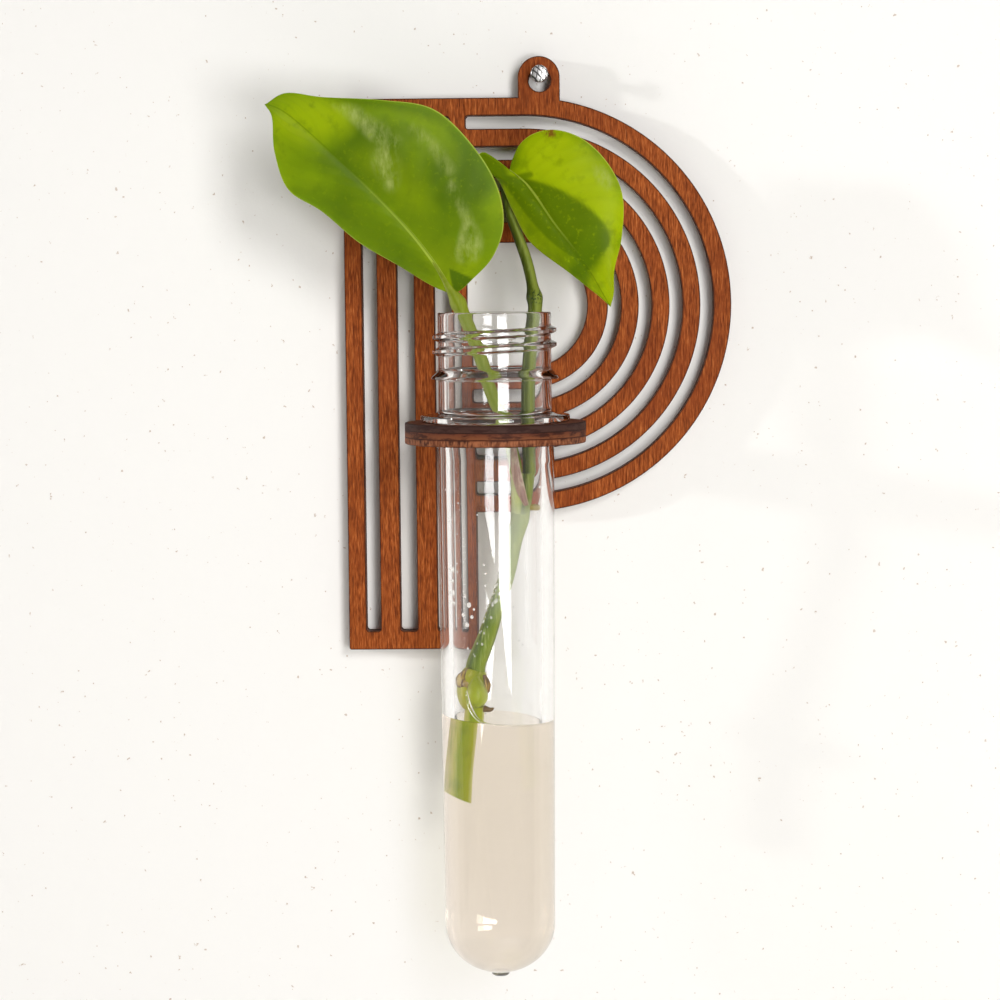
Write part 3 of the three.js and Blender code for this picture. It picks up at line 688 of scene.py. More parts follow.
def board(name, loops, to_space, edge, material, body, replaces):
    """A laser-cut board with rounded edges, from loops: the outline first, then its holes.

    to_space turns (across, along, depth) into a place; depth runs from 0 at one face. Each
    step is how far inward and deep it lies, and how charred and how much a flank it is."""
    front = [(edge + CHAR_RIM, 0.0, 0.0, 0.0), (edge, 0.0, 0.8, 0.0),
             (edge * 0.3, edge * 0.3, 1.0, 0.5), (0.0, edge, 1.0, 1.0)]
    back = [(inward, PLY - depth, dark, flank) for inward, depth, dark, flank in reversed(front)]
    steps = [*front, (0.0, PLY / 2, 1.0, 1.0), *back]
    verts, faces, burn, side = [], [], [], []
    face_loops = {0: [], len(steps) - 1: []}
    for number, loop in enumerate(loops):
        loop = tidy_loop(loop)
        faces += grid_faces(len(steps), len(loop), closed_columns=True, start=len(verts))
        for row, (inward, depth, dark, flank) in enumerate(steps):
            points = inset(loop, inward, number > 0)
            if row in face_loops:
                face_loops[row].append([(len(verts) + i, p) for i, p in enumerate(points)])
            verts += [to_space(x, z, depth) for x, z in points]
            burn += [dark] * len(points)
            side += [flank] * len(points)
    for parts in face_loops.values():
        flat = [index for loop in parts for index, _ in loop]
        shape = [[Vector((x, z, 0)) for _, (x, z) in loop] for loop in parts]
        faces += [tuple(flat[i] for i in triangle) for triangle in tessellate_polygon(shape)]
    obj = piece(name, verts, faces, body, material, smooth=False, replaces=replaces)
    point_values(obj, burn=burn, side=side)


def make_plate():
    loops = [plate_outline()]
    left = STEM_LEFT
    for width, gap in zip(BAR_WIDTHS, BAR_GAPS):
        left += width
        loops.append(bar_slot(left, left + gap))
        left += gap
    loops.append(band_slot(0, COUNTER_RADIUS))
    for band in range(BAND_COUNT - 1):
        inner = COUNTER_RADIUS + INNER_BAND + band * (BAND_GAP + BAND_WIDTH)
        loops.append(band_slot(inner, inner + BAND_GAP))
    loops.append(arc_points(0, HOLE_Z, HOLE_RADIUS, 0, TURN)[:-1])
    board("planter_plate", loops, lambda x, z, depth: (x, depth - PLY, z), PLATE_EDGE, PLATE_WOOD,
          "plate", ("wall_plate",))


def make_ring():
    """The ring, with its shoulder against the plate. Its tenon is a block through the plate."""
    shoulder = math.acos(SHOULDER / 2 / RING_RADIUS)
    steps = ((SHOULDER, -PLY), (TENON, -PLY), (TENON, 0), (-TENON, 0), (-TENON, -PLY),
             (-SHOULDER, -PLY))
    outline = [(TUBE_X + width / 2, y) for width, y in steps]
    outline += arc_points(TUBE_X, TUBE_Y, RING_RADIUS, math.pi - shoulder, TURN + shoulder)
    hole = arc_points(TUBE_X, TUBE_Y, RING_HOLE, 0, TURN)[:-1]
    board("tube_ring", [outline, hole], lambda x, y, depth: (x, y, ring_low.z + depth), RING_EDGE,
          RING_WOOD, "plate", ("holder_ring",))


# Tube
def quarter_ellipse(radius, rise, base, start_radius=0.0, steps=24):
    start = math.asin(start_radius / radius)
    angles = [start + (HALF_PI - start) * i / steps for i in range(steps + 1)]
    return [(radius * math.sin(a), base - rise * math.cos(a)) for a in angles]


def fine_profile(profile, step):
    """The same profile with long straight runs cut into short ones."""
    fine = [profile[0]]
    for (r0, z0), (r1, z1) in pairs(profile):
        parts = max(1, math.ceil(math.dist((r0, z0), (r1, z1)) / step))
        fine += [(r0 + (r1 - r0) * i / parts, z0 + (z1 - z0) * i / parts)
                 for i in range(1, parts + 1)]
    return fine


def rounded(profile, length, steps=4):
    """Rounds a profile's corners by a length, with a few points to each."""
    made = [profile[0]]
    for a, b, c in zip(profile, profile[1:], profile[2:]):
        a, b, c = Vector(a), Vector(b), Vector(c)
        reach = min(length, (a - b).length / 2.05, (c - b).length / 2.05)
        start, end = b + (a - b).normalized() * reach, b + (c - b).normalized() * reach
        for i in range(steps + 1):
            t = i / steps
            made.append(tuple((1 - t) ** 2 * start + 2 * t * (1 - t) * b + t * t * end))
    made.append(profile[-1])
    return made


def thread_height(angle, z):
    """How far the thread stands proud at an angle and a height."""
    best = 0.0
    for turn in range(3):
        run = (angle - THREAD_FROM) % TURN / TURN + turn
        if run > THREAD_TURNS:
            continue
        fade = min(1.0, run / THREAD_FADE, (THREAD_TURNS - run) / THREAD_FADE) ** 0.5
        off = abs(z - FLANGE_Z - THREAD_START - run * THREAD_PITCH)
        body = 1 - min(1.0, max(0.0, (off - THREAD_CREST) / THREAD_FLANK))
        best = max(best, fade * body * body * (3 - 2 * body))
    return best * (THREAD_RADIUS - NECK_RADIUS)


def tube_profile():
    """Radii and heights from the gate up the outside, over the lip and down to the floor."""
    flange, neck = FLANGE_Z, NECK_RADIUS
    upper = [
        (BODY_END, DOME_BASE),
        (BODY_TOP, flange),
        (FLANGE_RADIUS, flange),
        (FLANGE_RADIUS, flange + FLANGE_THICK),
        (neck + 0.5, flange + FLANGE_THICK + 0.4),
        (neck, flange + FLANGE_THICK + 1.0),
        (neck, flange + BEAD_BOTTOM),
        (BEAD_RADIUS, flange + BEAD_BOTTOM),
        (BEAD_RADIUS, flange + BEAD_BOTTOM + 0.6),
        (neck, flange + BEAD_TOP),
        (neck, NECK_TOP),
        (NECK_BORE, NECK_TOP),
        (NECK_BORE, flange - 0.5),
        (BODY_TOP - BODY_WALL, flange - BORE_STEP),
        (BORE_END, DOME_BASE),
    ]
    gate = [(0.0, TUBE_END), (GATE_RADIUS - 0.4, TUBE_END), (GATE_RADIUS - 0.05, TUBE_END + 0.3)]
    dome = quarter_ellipse(BODY_END, DOME_RISE, DOME_BASE, GATE_RADIUS)
    floor = quarter_ellipse(BORE_END, DOME_BASE - BORE_FLOOR, DOME_BASE)
    return [*gate, *dome, *rounded(upper, TUBE_CORNER)[1:], *reversed(floor[:-1])]


def make_tube():
    """The tube. Its neck has finer rows where the thread is."""
    sides = 160
    low, high = (FLANGE_Z + height for height in THREAD_ZONE)
    profile = fine_profile(tube_profile(), 0.9)
    rings = []
    for (r0, z0), (r1, z1) in pairs(profile[1:]):
        on_neck = abs(r0 - NECK_RADIUS) < 0.01 and abs(r1 - NECK_RADIUS) < 0.01
        parts = 6 if on_neck and z1 > low and z0 < high else 1
        rings += [(r0, z0 + (z1 - z0) * i / parts) for i in range(parts)]
    verts = []
    for r, z in rings:
        threaded = abs(r - NECK_RADIUS) < 0.01 and low < z < high
        for angle in turns(sides):
            proud = thread_height(angle, z) if threaded else 0.0
            verts.append(around(r + proud, angle, z))
    faces = round_faces(0, len(rings), sides, end_tip=len(verts))
    verts.append((TUBE_X, TUBE_Y, profile[-1][1]))
    piece("test_tube", verts, faces, "tube", CLEAR, replaces=("tube",))


# Water
def water_level(x):
    """The height of the water's surface, which leans with the planter."""
    return FLANGE_Z - WATER_DEPTH - x * WATER_SLOPE


def make_water():
    """Water up to a surface that climbs a little at the wall and at the stem."""
    sides, rings = 128, 28
    level, into = water_level(0), WATER_INTO_WALL
    share = (level - DOME_BASE) / (FLANGE_Z - BORE_STEP - DOME_BASE)
    radius = BORE_END + (BODY_TOP - BODY_END) * share + into
    wall = quarter_ellipse(BORE_END + into, DOME_BASE - BORE_FLOOR + into, DOME_BASE)[1:]
    foot = wall[-1][0]
    wall += [(foot + (radius - foot) * t, DOME_BASE + (level - DOME_BASE) * t)
             for t in (0.3, 0.6, 0.85)]
    verts = [(TUBE_X, TUBE_Y, BORE_FLOOR - into)]
    verts += [around(r, angle, z) for r, z in wall for angle in turns(sides)]
    for i in range(rings):
        r = radius * (1 - (i / rings) ** 1.6)
        at_wall = MENISCUS * math.exp(-(radius - r) / MENISCUS_REACH)
        for angle in turns(sides):
            x, y = r * math.cos(angle), r * math.sin(angle)
            to_stem = max(0.0, math.dist((x, y), WET_STEM) - WET_STEM_RADIUS)
            climb = at_wall + STEM_MENISCUS * math.exp(-to_stem / MENISCUS_REACH)
            verts.append((TUBE_X + x, TUBE_Y + y, water_level(x) + climb))
    faces = round_faces(1, len(wall) + rings, sides, start_tip=0, end_tip=len(verts))
    verts.append((TUBE_X, TUBE_Y, level))
    obj = piece("water_column", verts, faces, "tube", WATER, replaces=("water",))
    obj.data.materials.append(WATER_TOP)
    open_top = sides * (len(wall) + 2)
    for face in obj.data.polygons:
        if min(face.vertices) > open_top:
            face.material_index = 1


def make_water_rim():
    """The bright line where the water meets the front of the tube; it climbs beside the bud."""
    points = []
    for degrees in range(RIM_START, RIM_END, 3):
        angle = math.radians(degrees)
        climb = BUD_CLIMB * math.exp(-math.radians(degrees - RIM_START) / BUD_CLIMB_WIDTH)
        level = water_level(WATER_RADIUS * math.cos(angle))
        points.append(around(WATER_RADIUS, angle, level + climb))
    verts, faces, _, _ = stalk(
        points, lambda t: 0.14 + 0.26 * math.exp(-(((t - 0.16) / 0.14) ** 2)), sides=16, count=160)
    piece("water_rim", verts, faces, "tube", WATER_EDGE)


def make_drops():
    """Small drops of water on the inside of the tube, above the water.

    Each has its degrees round the tube, its height from the flange and its size."""
    rng = random.Random(11)
    spots = [
        (208, -32.2, 0.45), (209, -34.7, 0.3), (206, -37.4, 0.5), (212, -39.6, 0.3),
        (230, -37.9, 0.35), (236, -39.7, 0.5), (228, -41.9, 0.4), (240, -42.3, 0.35),
        (233, -44.1, 0.45), (243, -40.6, 0.25)]
    for _ in range(26):
        spots.append((rng.uniform(195, 330), rng.uniform(-52, -14), rng.uniform(0.12, 0.26)))
    verts, faces = [], []
    sides, rows = 14, 7
    for degrees, height, size in spots:
        angle, z = math.radians(degrees), FLANGE_Z + height
        share = (FLANGE_Z - BORE_STEP - z) / DROP_BORE_LENGTH
        wall = BODY_TOP - BODY_WALL - (BODY_TOP - BODY_END) * share
        out = Vector((math.cos(angle), math.sin(angle), 0))
        along = Vector((-out.y, out.x, 0))
        centre = Vector((TUBE_X, TUBE_Y, z)) + out * (wall + WATER_INTO_WALL)
        faces += round_faces(len(verts), rows - 1, sides)
        for i in range(1, rows):
            polar = math.pi * i / rows
            flat = size * math.sin(polar)
            inward = size * 0.55 * math.cos(polar) + size * 0.4
            verts += [centre - out * inward + along * (flat * math.cos(a))
                      + Vector((0, 0, flat * 1.25 * math.sin(a))) for a in turns(sides)]
    piece("water_drops", verts, faces, "tube", DROP)


def make_stem_drops():
    """Drops that cling to the left and the front of the wet stem."""
    rng = random.Random(5)
    centres = smooth_line(in_tube(UPPER_STEM), 100)
    drops = bmesh.new()
    for _ in range(60):
        centre = Vector(centres[rng.randint(6, 66)])
        angle = math.radians(rng.uniform(170, 262))
        size = rng.uniform(0.16, 0.38)
        out = Vector((math.cos(angle), math.sin(angle), 0))
        spot = Matrix.Translation(centre + out * (DROP_FROM_STEM + size * 0.4))
        shape = Matrix.Diagonal((size, size, size * 1.3, 1))
        bmesh.ops.create_icosphere(drops, subdivisions=3, radius=1.0, matrix=spot @ shape)
    verts = [tuple(v.co) for v in drops.verts]
    drops.verts.index_update()
    faces = [tuple(v.index for v in face.verts) for face in drops.faces]
    drops.free()
    piece("stem_drops", verts, faces, "cutting", DROP)


# Cutting, in places counted from the tube's axis and the underside of its flange
def in_tube(points):
    return [(TUBE_X + x, TUBE_Y + y, FLANGE_Z + z) for x, y, z in points]


def stalk_piece(name, points, radius_at, material, slot, replaces=(), rough_skin=None,
                pale_skin=None, **shape):
    """A stalk on the cutting; its two functions give its roughness and its painted pale sheen at a
    share.
    """
    verts, faces, shares, normals = stalk(in_tube(points), radius_at, **shape)
    obj = piece(name, verts, faces, "cutting", material, replaces=replaces)
    point_values(obj, turn=[(normal[0] + 1) / 2 for normal in normals],
                 rough_skin=[rough_skin(t) if rough_skin else 0.0 for t in shares],
                 pale_skin=[pale_skin(t) if pale_skin else 0.0 for t in shares])


CUT_STEM = [(-6.9, 1, -83.7), (-6.6, 1, -77.9), (-5.9, 1, -69.9), (-5.3, 1, -63.4)]
UPPER_STEM = [
    (-5.0, 1, -55.6), (-4.9, 1, -54.4), (-2.6, 0.9, -48.4), (-0.7, 0.7, -42.6),
    (2.3, 0.5, -33.4), (3.9, 0.4, -25.9), (5.3, 0.3, -21.4), (5.4, 0.3, -20.2)]
LEFT_PETIOLE = [
    (4.4, 0.2, -11.6), (4.4, 0.2, -10.4), (3.2, 0.1, -5.3), (0.9, 0, 2.1), (-1.0, -0.1, 6.9),
    (-2.6, -0.2, 12.5), (-4.5, -0.5, 18), (-6.6, -0.9, 23.3), (-8.5, -1.55, 27.4),
    (-9.9, -2.5, 30.0), (-11.4, -3.7, 32.6), (-13.4, -4.9, 35.5)]
RIGHT_PETIOLE = [
    (7.5, 0.4, -11.6), (7.3, 0.3, 4.7), (7.6, 0.2, 12.4), (8.3, 0.4, 20.1), (9, 1.2, 25.4),
    (8.4, 2.4, 30), (7.3, 3.3, 35), (5.3, 4, 41), (3.6, 4.3, 46.1), (2.7, 4, 52.5),
    (3.4, 2.9, 54.6), (5.6, 1.4, 53.4)]

# Each leaf's base and tip, and between them its midrib, its left margin and its right margin
LEFT_LEAF_ENDS = ((-9, -2, 28.1), (-48.5, -13.3, 69.1))
LEFT_LEAF_LINES = (
    [(-11.9, -4.3, 33.4), (-17.3, -7.3, 40.9), (-24.9, -9.8, 49.3), (-35.6, -11.8, 59.6),
     (-44.9, -12.8, 67.6)],
    [(-12.6, -1.8, 29.5), (-21.1, -3.3, 34.6), (-29.1, -4.8, 39.4), (-37.2, -6.8, 46.3),
     (-44.2, -8.8, 51), (-46.9, -10.8, 59.2), (-47.2, -12.8, 66.9)],
    [(-7.4, -2.8, 28.9), (-4.7, -5.3, 31.2), (0, -7.8, 36.1), (2.5, -8.8, 42.8),
     (1.5, -9.8, 50.7), (-3.8, -10.8, 60), (-12.2, -11.8, 67.9), (-22.9, -12.8, 69.8),
     (-36.4, -13.3, 70.7), (-44.3, -13.3, 71.5)])
RIGHT_LEAF_ENDS = ((3.5, 2.2, 55), (25.5, -6.8, 25.1))
RIGHT_LEAF_LINES = (
    [(7.5, 0.7, 51.7), (13.1, -1.3, 43.6), (20.8, -3.8, 33.5)],
    [(4.2, 2.2, 57.4), (5.9, 1.7, 60.8), (8.9, 1.2, 63.1), (13.5, 0.7, 63.9),
     (19.7, -0.3, 61.9), (25, -0.8, 56.9), (28.3, -1.3, 49.8), (28.2, -2.3, 40.5),
     (26.4, -4.3, 32.8), (26.2, -6, 27.8)],
    [(0.9, 2.7, 57.5), (-2.4, 3.2, 59.3), (-4.2, 3.2, 57.3), (-1.8, 2.7, 55.1),
     (0.9, 2.2, 53.1), (4.1, 1.7, 46.5), (8.1, 0.7, 39.3), (17.4, -2.8, 31.9),
     (23.2, -5.8, 27.2)])

# Marks on the leaves: for each kind, its outlines in (x, z) with their soft edge and strength
LEFT_LEAF_MARKS = {
    "dark": [
        # The first dark mark is painted shade where the leaf's base folds.
        ([(-9.7, 33.9), (-7.1, 32.7), (-4.3, 31.0), (-5.6, 29.0), (-8.5, 28.9), (-9.3, 31.2)],
         0.5, 1.0),
        ([(-44.4, 51.3), (-35.3, 51), (-24.5, 45.5), (-13.7, 35.2), (-11.6, 30.4),
          (-20.9, 34.6), (-28.9, 39.2), (-37.3, 46.5)], 6.0, 0.55),
        ([(-20, 45), (-13, 47), (-7, 42), (-6, 36), (-10, 33.5), (-15, 38)], 6.0, 0.5),
        ([(-46, 66), (-41, 66), (-36, 60), (-39, 54), (-45, 57)], 6.0, 0.1),
        ([(-36, 70.9), (-23, 69.9), (-12.2, 67.9), (-3.7, 59.9), (-0.3, 54.7), (-4.6, 56.9),
          (-11, 64.5), (-19.6, 67.3), (-30.5, 69.2)], 2.5, 0.7)],
    "warm": [
        ([(-47.1, 67), (-41, 69.5), (-31.4, 69), (-30.4, 64.3), (-36.9, 62), (-43.4, 62),
          (-46.6, 63.5)], 6.0, 0.8),
        ([(-25, 60), (-18, 57), (-13, 47), (-14, 42), (-22, 50), (-30, 58)], 7.0, 0.3)],
    # The left leaf's pale marks are scuffed streaks that also paint its highlight streaks.
    "pale": [
        ([(-8.6, 52.8), (-6.7, 49.3), (-4.8, 45.2), (-2.5, 39.8), (-3.2, 35.9), (-5.8, 34.9),
          (-8.6, 36), (-7.5, 39.9), (-6.3, 43.7), (-8, 47.4), (-9.9, 51.1)], 1.8, 1.0),
        ([(-33.5, 68.7), (-29.8, 68.7), (-24.3, 65.2), (-19.6, 61.3), (-21.4, 59.2),
          (-25.6, 61.4), (-29.9, 65.7)], 2.2, 1.0),
        ([(-24, 62), (-20.5, 58), (-21, 51), (-22.6, 51), (-25.5, 57)], 2.5, 0.9),
        ([(-16.5, 65), (-11.5, 60.5), (-8, 54.5), (-9.5, 54), (-13, 58.5), (-17.5, 63.5)],
         1.8, 0.75)],
}
RIGHT_LEAF_MARKS = {
    # The first two dark marks paint the shadow that the left leaf casts on this one; the other two
    # darken it near its base.
    "dark": [
        ([(0.9, 54.7), (4.9, 53.8), (8.1, 53.1), (11.4, 52), (14.7, 50.7), (18.4, 48.4),
          (21.9, 45.8), (24.5, 42.7), (25.6, 39.6), (24.7, 37.5), (22.5, 35.7), (19.6, 34.4),
          (16.5, 36.2), (12.2, 39.5), (7.6, 44.5), (3.4, 50.5)], 1.1, 0.9),
        ([(4, 52), (16, 45), (19.6, 35.4), (14.4, 32.5), (8.1, 39.3), (2.9, 48.5)], 5.0, 0.55),
        ([(-2.6, 59.7), (0.9, 57.5), (3.3, 53.5), (0.8, 51.1), (-2.8, 54.3), (-5.2, 57.3)],
         1.5, 0.8),
        ([(3.4, 53.4), (5.5, 54.2), (8.6, 54.6), (8.8, 53.8), (5.8, 52.8)], 0.8, 0.7)],
    "brown": [
        ([(10.4, 63.8), (12, 64.2), (14.4, 64), (13.9, 62.7), (12.4, 62.1), (11.5, 62.7)],
         0.6, 1.0)],
    "pale": [
        ([(22, 55.9), (24.1, 55.5), (26.4, 51.9), (25.2, 50.6), (22.6, 53.2)], 1.6, 0.8)],
    # The warm marks make the top, the right margin and the tip lighter and yellower: painted
    # sunlight beside the painted shadow.
    "warm": [
        ([(6, 61), (10.5, 62.6), (19, 60.8), (25, 55), (27.2, 48), (26.6, 38), (21, 47),
          (12, 53.5)], 3.0, 0.35),
        ([(21.5, 30.5), (23.2, 34), (25.5, 38), (28.4, 36), (26, 24), (22, 27.5)], 5.0, 0.7)],
}


def leaf(name, ends, lines, facing, arch, marks, material, replaces):
    """A blade between its midrib and margins, arched, with a sunk midrib and soft waves."""
    rows, half = 150, 32
    base, tip = ends
    spine, left, right = (
        [Vector(p) for p in smooth_line(in_tube([base, *line, tip]), rows)] for line in lines)
    away = Vector(facing).normalized()
    verts, numbers = [], []
    for face in (1, -1):
        for i in range(rows + 1):
            t, start = i / rows, spine[i]
            taper = math.sin(math.pi * t)
            for j in range(-half, half + 1):
                sign = -1 if j < 0 else 1
                share = (abs(j) / half) ** 1.25
                edge = left[i] if j < 0 else right[i]
                reach = (edge - start).length
                swell = math.sin(math.pi * share) * taper
                rib = -0.25 * math.exp(-((share * reach / 0.9) ** 2)) * taper ** 0.3
                wave = 0.22 * math.sin(TURN * (2.7 * t + 0.4 * sign)) * share * taper
                vein = 0.012 * math.sin(TURN * (SIDE_VEINS * t - SIDE_VEIN_LEAN * share)) * swell
                thick = LEAF_THICKNESS / 2 * (1 - share ** 8) + LEAF_RIM
                lift = away * (arch * swell + rib + wave + vein + face * thick)
                verts.append(start.lerp(edge, share * 0.994) + lift)
                numbers.append((t, sign * share, sign * share * reach, 0.0 if face > 0 else 1.0))
    faces = sheet_faces(rows + 1, 2 * half + 1, close_ends=False)
    obj = piece(name, verts, faces, "cutting", material, replaces=replaces)
    point_values(obj, **dict(zip(("along", "across", "off", "under"), zip(*numbers))))
    flat = [(v[0] - TUBE_X, v[2] - FLANGE_Z) for v in verts]
    for kind in ("dark", "warm", "pale", "brown"):
        amount = np.zeros(len(flat))
        for outline, soft, strength in marks.get(kind, ()):
            amount = np.maximum(amount, strength * inside(flat, outline, soft))
        point_values(obj, **{kind: amount})


def skin(name, left, right, bulge, material, thickness=0.16):
    """A thin curved skin between two lines, bulging towards the front."""
    rows, columns = 40, 13
    lines = [[Vector(p) for p in smooth_line(in_tube(line), rows)] for line in (left, right)]
    verts, rim = [], []
    for depth in (0, thickness):
        for i, (start, end) in enumerate(zip(*lines)):
            for j in range(columns):
                u = j / (columns - 1)
                y = depth - bulge * math.sin(math.pi * u)
                verts.append(start.lerp(end, u) + Vector((0, y, 0)))
                rim.append(max(abs(2 * u - 1), 2 * i / rows - 1))
    faces = sheet_faces(rows + 1, columns, close_ends=True)
    point_values(piece(name, verts, faces, "cutting", material), rim=rim)


def make_stems():
    def length_radius(t):
        return 2.25 - 0.5 * math.sin(math.pi * min(1, t * 0.85)) ** 1.5

    def left_radius(t):
        if t < 0.89:
            return 1.45 - 0.65 * max(0.0, (t - 0.79) / 0.1)
        return 0.8 - 0.5 * (t - 0.89) / 0.11

    def left_wings(t, angle):
        flare = max(0.0, 1 - abs(t - 0.775) / 0.045)
        return 1 + 0.3 * flare * abs(math.cos(angle)) ** 5

    def right_radius(t):
        collar = 0.3 * math.exp(-(((t - 0.55) / 0.018) ** 2))
        above = 1 / (1 + math.exp(-(t - 0.578) / 0.008))
        return 1.55 + collar - 0.33 * above - 0.9 * max(0.0, (t - 0.94) / 0.06)

    stalk_piece("cut_stem", CUT_STEM, lambda t: 2.25 + 0.15 * (1 - t), CUT_STEM_SKIN,
                "green_stem", ("lower_stem",), slant=0.42)
    # The upper part of the stem gets a painted pale sheen.
    stalk_piece("stem_length", UPPER_STEM, length_radius, STEM, "green_stem", ("upper_stem",),
                pale_skin=lambda t: 0.62 * min(1.0, max(0.0, (t - 0.3) / 0.3)), count=90,
                shape=lambda t, angle: 1 + 0.05 * math.cos(3 * angle + 5 * t))
    stalk_piece("left_leaf_stalk", LEFT_PETIOLE, left_radius, LEFT_STALK, "green_stem",
                ("left_petiole",), groove=0.2, count=110, shape=left_wings)
    stalk_piece("right_leaf_stalk", RIGHT_PETIOLE, right_radius, RIGHT_STALK, "dark_stem",
                ("right_petiole",), rough_skin=lambda t: math.exp(-(((t - 0.547) / 0.02) ** 4)),
                groove=0.15, count=160)


def make_joints():
    """The two swollen joints, with the bud, its dried scales and the grey sheath."""
    def upper(t, angle):
        wide = 1 + 0.42 * t * abs(math.cos(angle)) ** 1.5
        return wide * (1 - 0.22 * t * t * abs(math.sin(angle)) ** 8)

    def bud(t):
        return 2.75 * max(0.0, math.sin(math.pi * t ** 0.7)) ** 0.75 * (1 - 0.4 * t) + 0.02

    stalk_piece("lower_joint", [(-5.4, 1, -63.6), (-6.1, 0.8, -59.6), (-5.0, 1, -55.2)],
                lambda t: 2.3 + 1.25 * max(0.0, math.sin(math.pi * t)) ** 0.7,
                NODE_SKIN, "pale_node", ("lower_node",), sides=48)
    # The upper joint's foot carries on the stem's painted pale sheen.
    stalk_piece("upper_joint", [(5.4, 0.3, -20.4), (5.7, 0.3, -16.5), (6.0, 0.3, -11.4)],
                lambda t: 2.1 - 0.15 * t, UPPER_JOINT_SKIN, "green_stem", ("upper_node",),
                pale_skin=lambda t: 0.62 * max(0.0, 1 - 2.5 * t), sides=48, shape=upper)
    stalk_piece("bud", [(-4.4, -1.9, -63.0), (-4.6, -2.3, -59.9), (-5.0, -0.9, -55.6)], bud,
                BUD_SKIN, "pale_node", sides=40)
    stalk_piece("root_tip", [(-3.2, 0.4, -63.9), (-1.8, 0.2, -64.1), (-0.9, 0.1, -63.7)],
                lambda t: 0.75 * (1 - t) ** 0.6 + 0.05, BROWN_TIP, "pale_node", sides=16, count=16)
    stalk_piece("branch_stub", [(6.8, 0, -18.9), (8.6, -0.2, -19.0), (10.08, -0.3, -19.1)],
                lambda t: 0.66 * (1 - t ** 12) + 0.04, STUB_SKIN, "pale_node", sides=20, count=30)
    skin("left_scale",
         [(-6.6, -2.6, -58.9), (-9.0, -1.6, -58.6), (-9.6, -0.8, -57.0), (-8.8, -0.8, -55.9)],
         [(-6.2, -2.2, -57.4), (-6.9, -1.9, -56.6), (-6.9, -1.3, -55.2), (-6.0, -1.2, -54.2)],
         0.5, BROWN_SKIN)
    skin("right_scale", [(-2.9, -2.0, -59.9), (-2.8, -1.9, -58.2), (-3.3, -1.3, -56.2)],
         [(-1.9, -0.8, -60.2), (-1.6, -0.8, -58.2), (-2.6, -0.9, -56.1)], 0.25, BROWN_SKIN)
    skin("stem_sheath",
         [(6.1, -1.9, -18.6), (4.5, -1.9, -15.4), (3.4, -1.6, -11.0), (3.2, -1.2, -5.0)],
         [(7.1, -1.7, -18.3), (6.3, -2.0, -14.5), (5.1, -1.8, -9.0), (4.4, -1.3, -4.8)],
         0.35, GREY_SKIN)


def make_leaves():
    leaf("left_leaf_blade", LEFT_LEAF_ENDS, LEFT_LEAF_LINES, (-0.1, -0.95, 0.3), 1.2,
         LEFT_LEAF_MARKS, LEFT_LEAF, ("left_leaf",))
    leaf("right_leaf_blade", RIGHT_LEAF_ENDS, RIGHT_LEAF_LINES, (0.1, -0.97, 0.25), 1.0,
         RIGHT_LEAF_MARKS, RIGHT_LEAF, ("right_leaf",))


def make_nail():
    """Nail with a crowned head, a rounded rim and a straight shank."""
    sides = 64
    front, end = nail_low.y, nail_high.y
    profile = rounded([
        (1.2, front + 0.09), (1.8, front + 0.25), (1.95, front + 0.45), (1.95, front + 0.95),
        (1.85, front + 1.12), (1.3, front + 1.2), (1.05, front + 1.45), (1.05, end - 2.6),
        (0.15, end - 0.1)], 0.12)
    verts = [(0, front, 0)]
    verts += [(r * math.cos(a), y, r * math.sin(a)) for r, y in profile for a in turns(sides)]
    faces = round_faces(1, len(profile), sides, start_tip=0)
    piece("steel_nail", verts, faces, "nail", NAIL, replaces=("wall_nail",))


# Stage: a pale wall behind, a pale floor below
def make_stage():
    """A plaster wall, which isn't seen from behind and doesn't shade what touches it."""
    plaster, n, shader = new_material("wall_plaster")
    specks = n.between(n.noise(900, 2.0), 0.72, 0.78)
    n.wire(shader, {
        "Base Color": n.mix(specks, (0.955, 0.94, 0.91, 1), (0.62, 0.52, 0.44, 1)),
        "Roughness": 0.9,
        "Normal": n.bump(n.noise(260, 4.0, 0.6), 0.15, 0.0006),
    })
    path = n.add("ShaderNodeLightPath").outputs
    near = n.maths("LESS_THAN", path["Ray Length"], 0.0015)
    behind = n.add("ShaderNodeNewGeometry").outputs["Backfacing"]
    n.let_through(shader, n.maths("MAXIMUM", behind, n.times(near, path["Is Diffuse Ray"])))
    pale, n, shader = new_material("pale_floor")
    n.wire(shader, {"Base Color": (0.85, 0.83, 0.8, 1), "Roughness": 0.7})
    wall = [(-0.7, WALL_Y, FLOOR_Z), (0.7, WALL_Y, FLOOR_Z), (0.7, WALL_Y, 0.45),
            (-0.7, WALL_Y, 0.45)]
    floor = [(x, y, FLOOR_Z) for x, y in ((-1.5, -1.5), (1.5, -1.5), (1.5, 1.5), (-1.5, 1.5))]
    for name, corners, surface in (("wall", wall, plaster), ("floor", floor, pale)):
        new_mesh(name, corners, [(0, 1, 2, 3)], surface)


def window(name, azimuth, width, bottom, top, level, distance=0.95, lean=0.0):
    """An upright area lamp; level is how bright it alone makes a white card at CARD."""
    height = (bottom + top) / 2
    away = distance ** 2 + (height - CARD[2]) ** 2
    facing = distance * math.cos(azimuth) / math.sqrt(away)
    data = bpy.data.lights.new(name, "AREA")
    data.energy = level * math.pi ** 2 * away / facing
    data.shape, data.size, data.size_y = "RECTANGLE", width, top - bottom
    obj = new_object(name, data)
    obj.location = (distance * math.sin(azimuth), -distance * math.cos(azimuth), height)
    obj.rotation_euler = (Vector(CARD) - obj.location).to_track_quat("-Z", "Y").to_euler()
    obj.rotation_euler.rotate_axis("Z", lean)
    obj.visible_camera = False


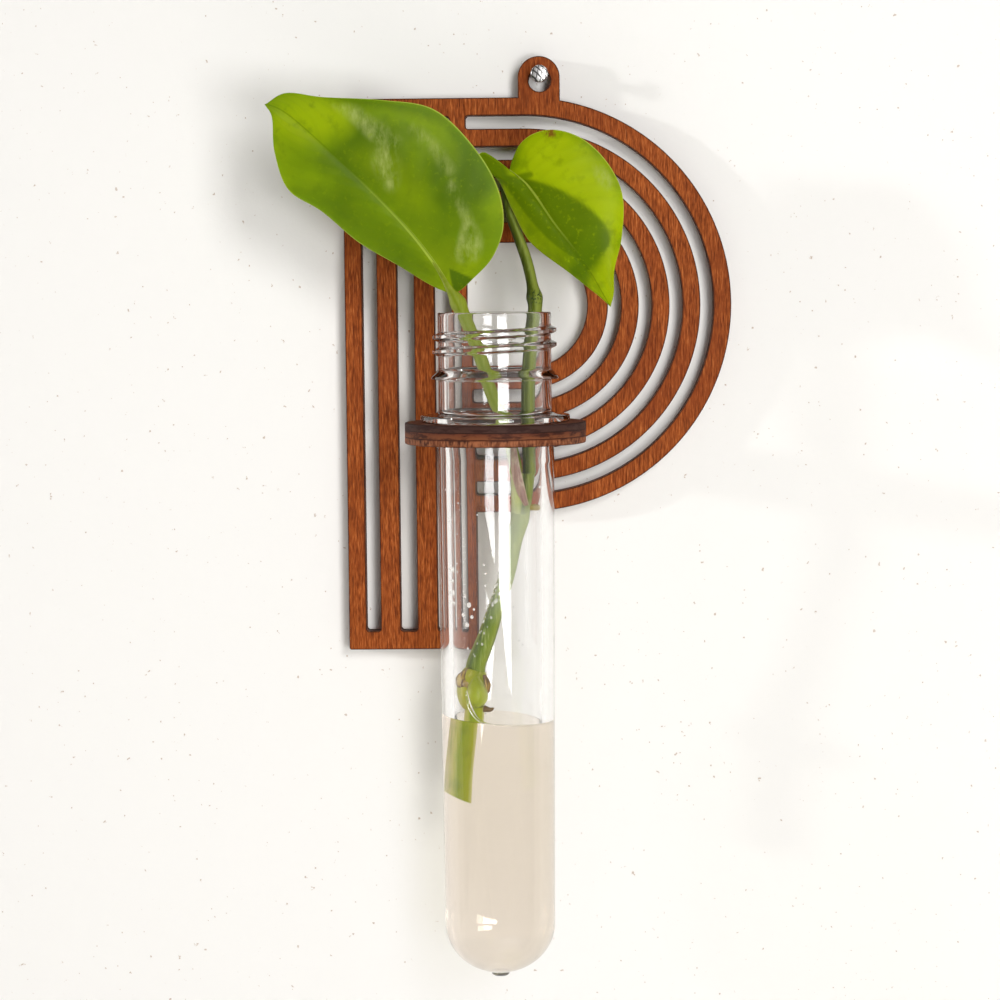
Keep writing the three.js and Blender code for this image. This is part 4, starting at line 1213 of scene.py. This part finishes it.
def make_lights():
    """Two windows and a low sun, in a pale room that looks white but gives little light."""
    window("key", math.radians(20), 0.22, 0.06, 0.4, 0.34)
    window("window_right", math.radians(17), 0.37, -0.26, -0.05, 0.35, lean=math.radians(-9))
    window("low_sun", math.radians(-70), 0.08, 0.18, 0.26, 0.09, distance=1.6)
    world = bpy.data.worlds.new("studio")
    bpy.context.scene.world = world
    world.use_nodes = True
    n = Nodes(world.node_tree)
    path = n.add("ShaderNodeLightPath").outputs
    reflected = n.maths("GREATER_THAN", path["Glossy Depth"], 0.5)
    straight = n.maths("GREATER_THAN", path["Is Transmission Ray"], reflected)
    seen = n.maths("MAXIMUM", path["Is Camera Ray"], straight)
    mirrored = n.fit(n.maths("GREATER_THAN", reflected, path["Is Diffuse Ray"]), 0.3, 0.12)
    heading = n.part(n.add("ShaderNodeTexCoord").outputs["Generated"], "Y")
    behind_wall = n.times(n.between(heading, 0.0, 0.4), 0.8)
    strength = n.maths("MAXIMUM", seen, n.maths("ADD", mirrored, behind_wall))
    background = n.tree.nodes["Background"]
    n.wire(background, {"Color": (1, 0.965, 0.92, 1), "Strength": strength})


def make_camera():
    across = math.cos(PITCH)
    forward = Vector((math.sin(YAW) * across, math.cos(YAW) * across, -math.sin(PITCH)))
    level = Vector((math.cos(YAW), -math.sin(YAW), 0))
    upright = level.cross(forward)
    right = math.cos(ROLL) * level + math.sin(ROLL) * upright
    up = -math.sin(ROLL) * level + math.cos(ROLL) * upright
    data = bpy.data.cameras.new("camera")
    data.lens = LENS
    data.sensor_width = 36
    data.clip_start = 0.01
    obj = new_object("camera", data)
    turned = Matrix((right, up, -forward)).transposed().to_4x4()
    obj.matrix_world = Matrix.Translation(CAMERA_PLACE) @ turned
    bpy.context.scene.camera = obj


make_camera()
make_lights()
make_stage()
make_plate()
make_ring()
make_tube()
make_water()
make_water_rim()
make_drops()
make_stems()
make_stem_drops()
make_joints()
make_leaves()
make_nail()
bpy.context.scene.view_settings.view_transform = "Standard"
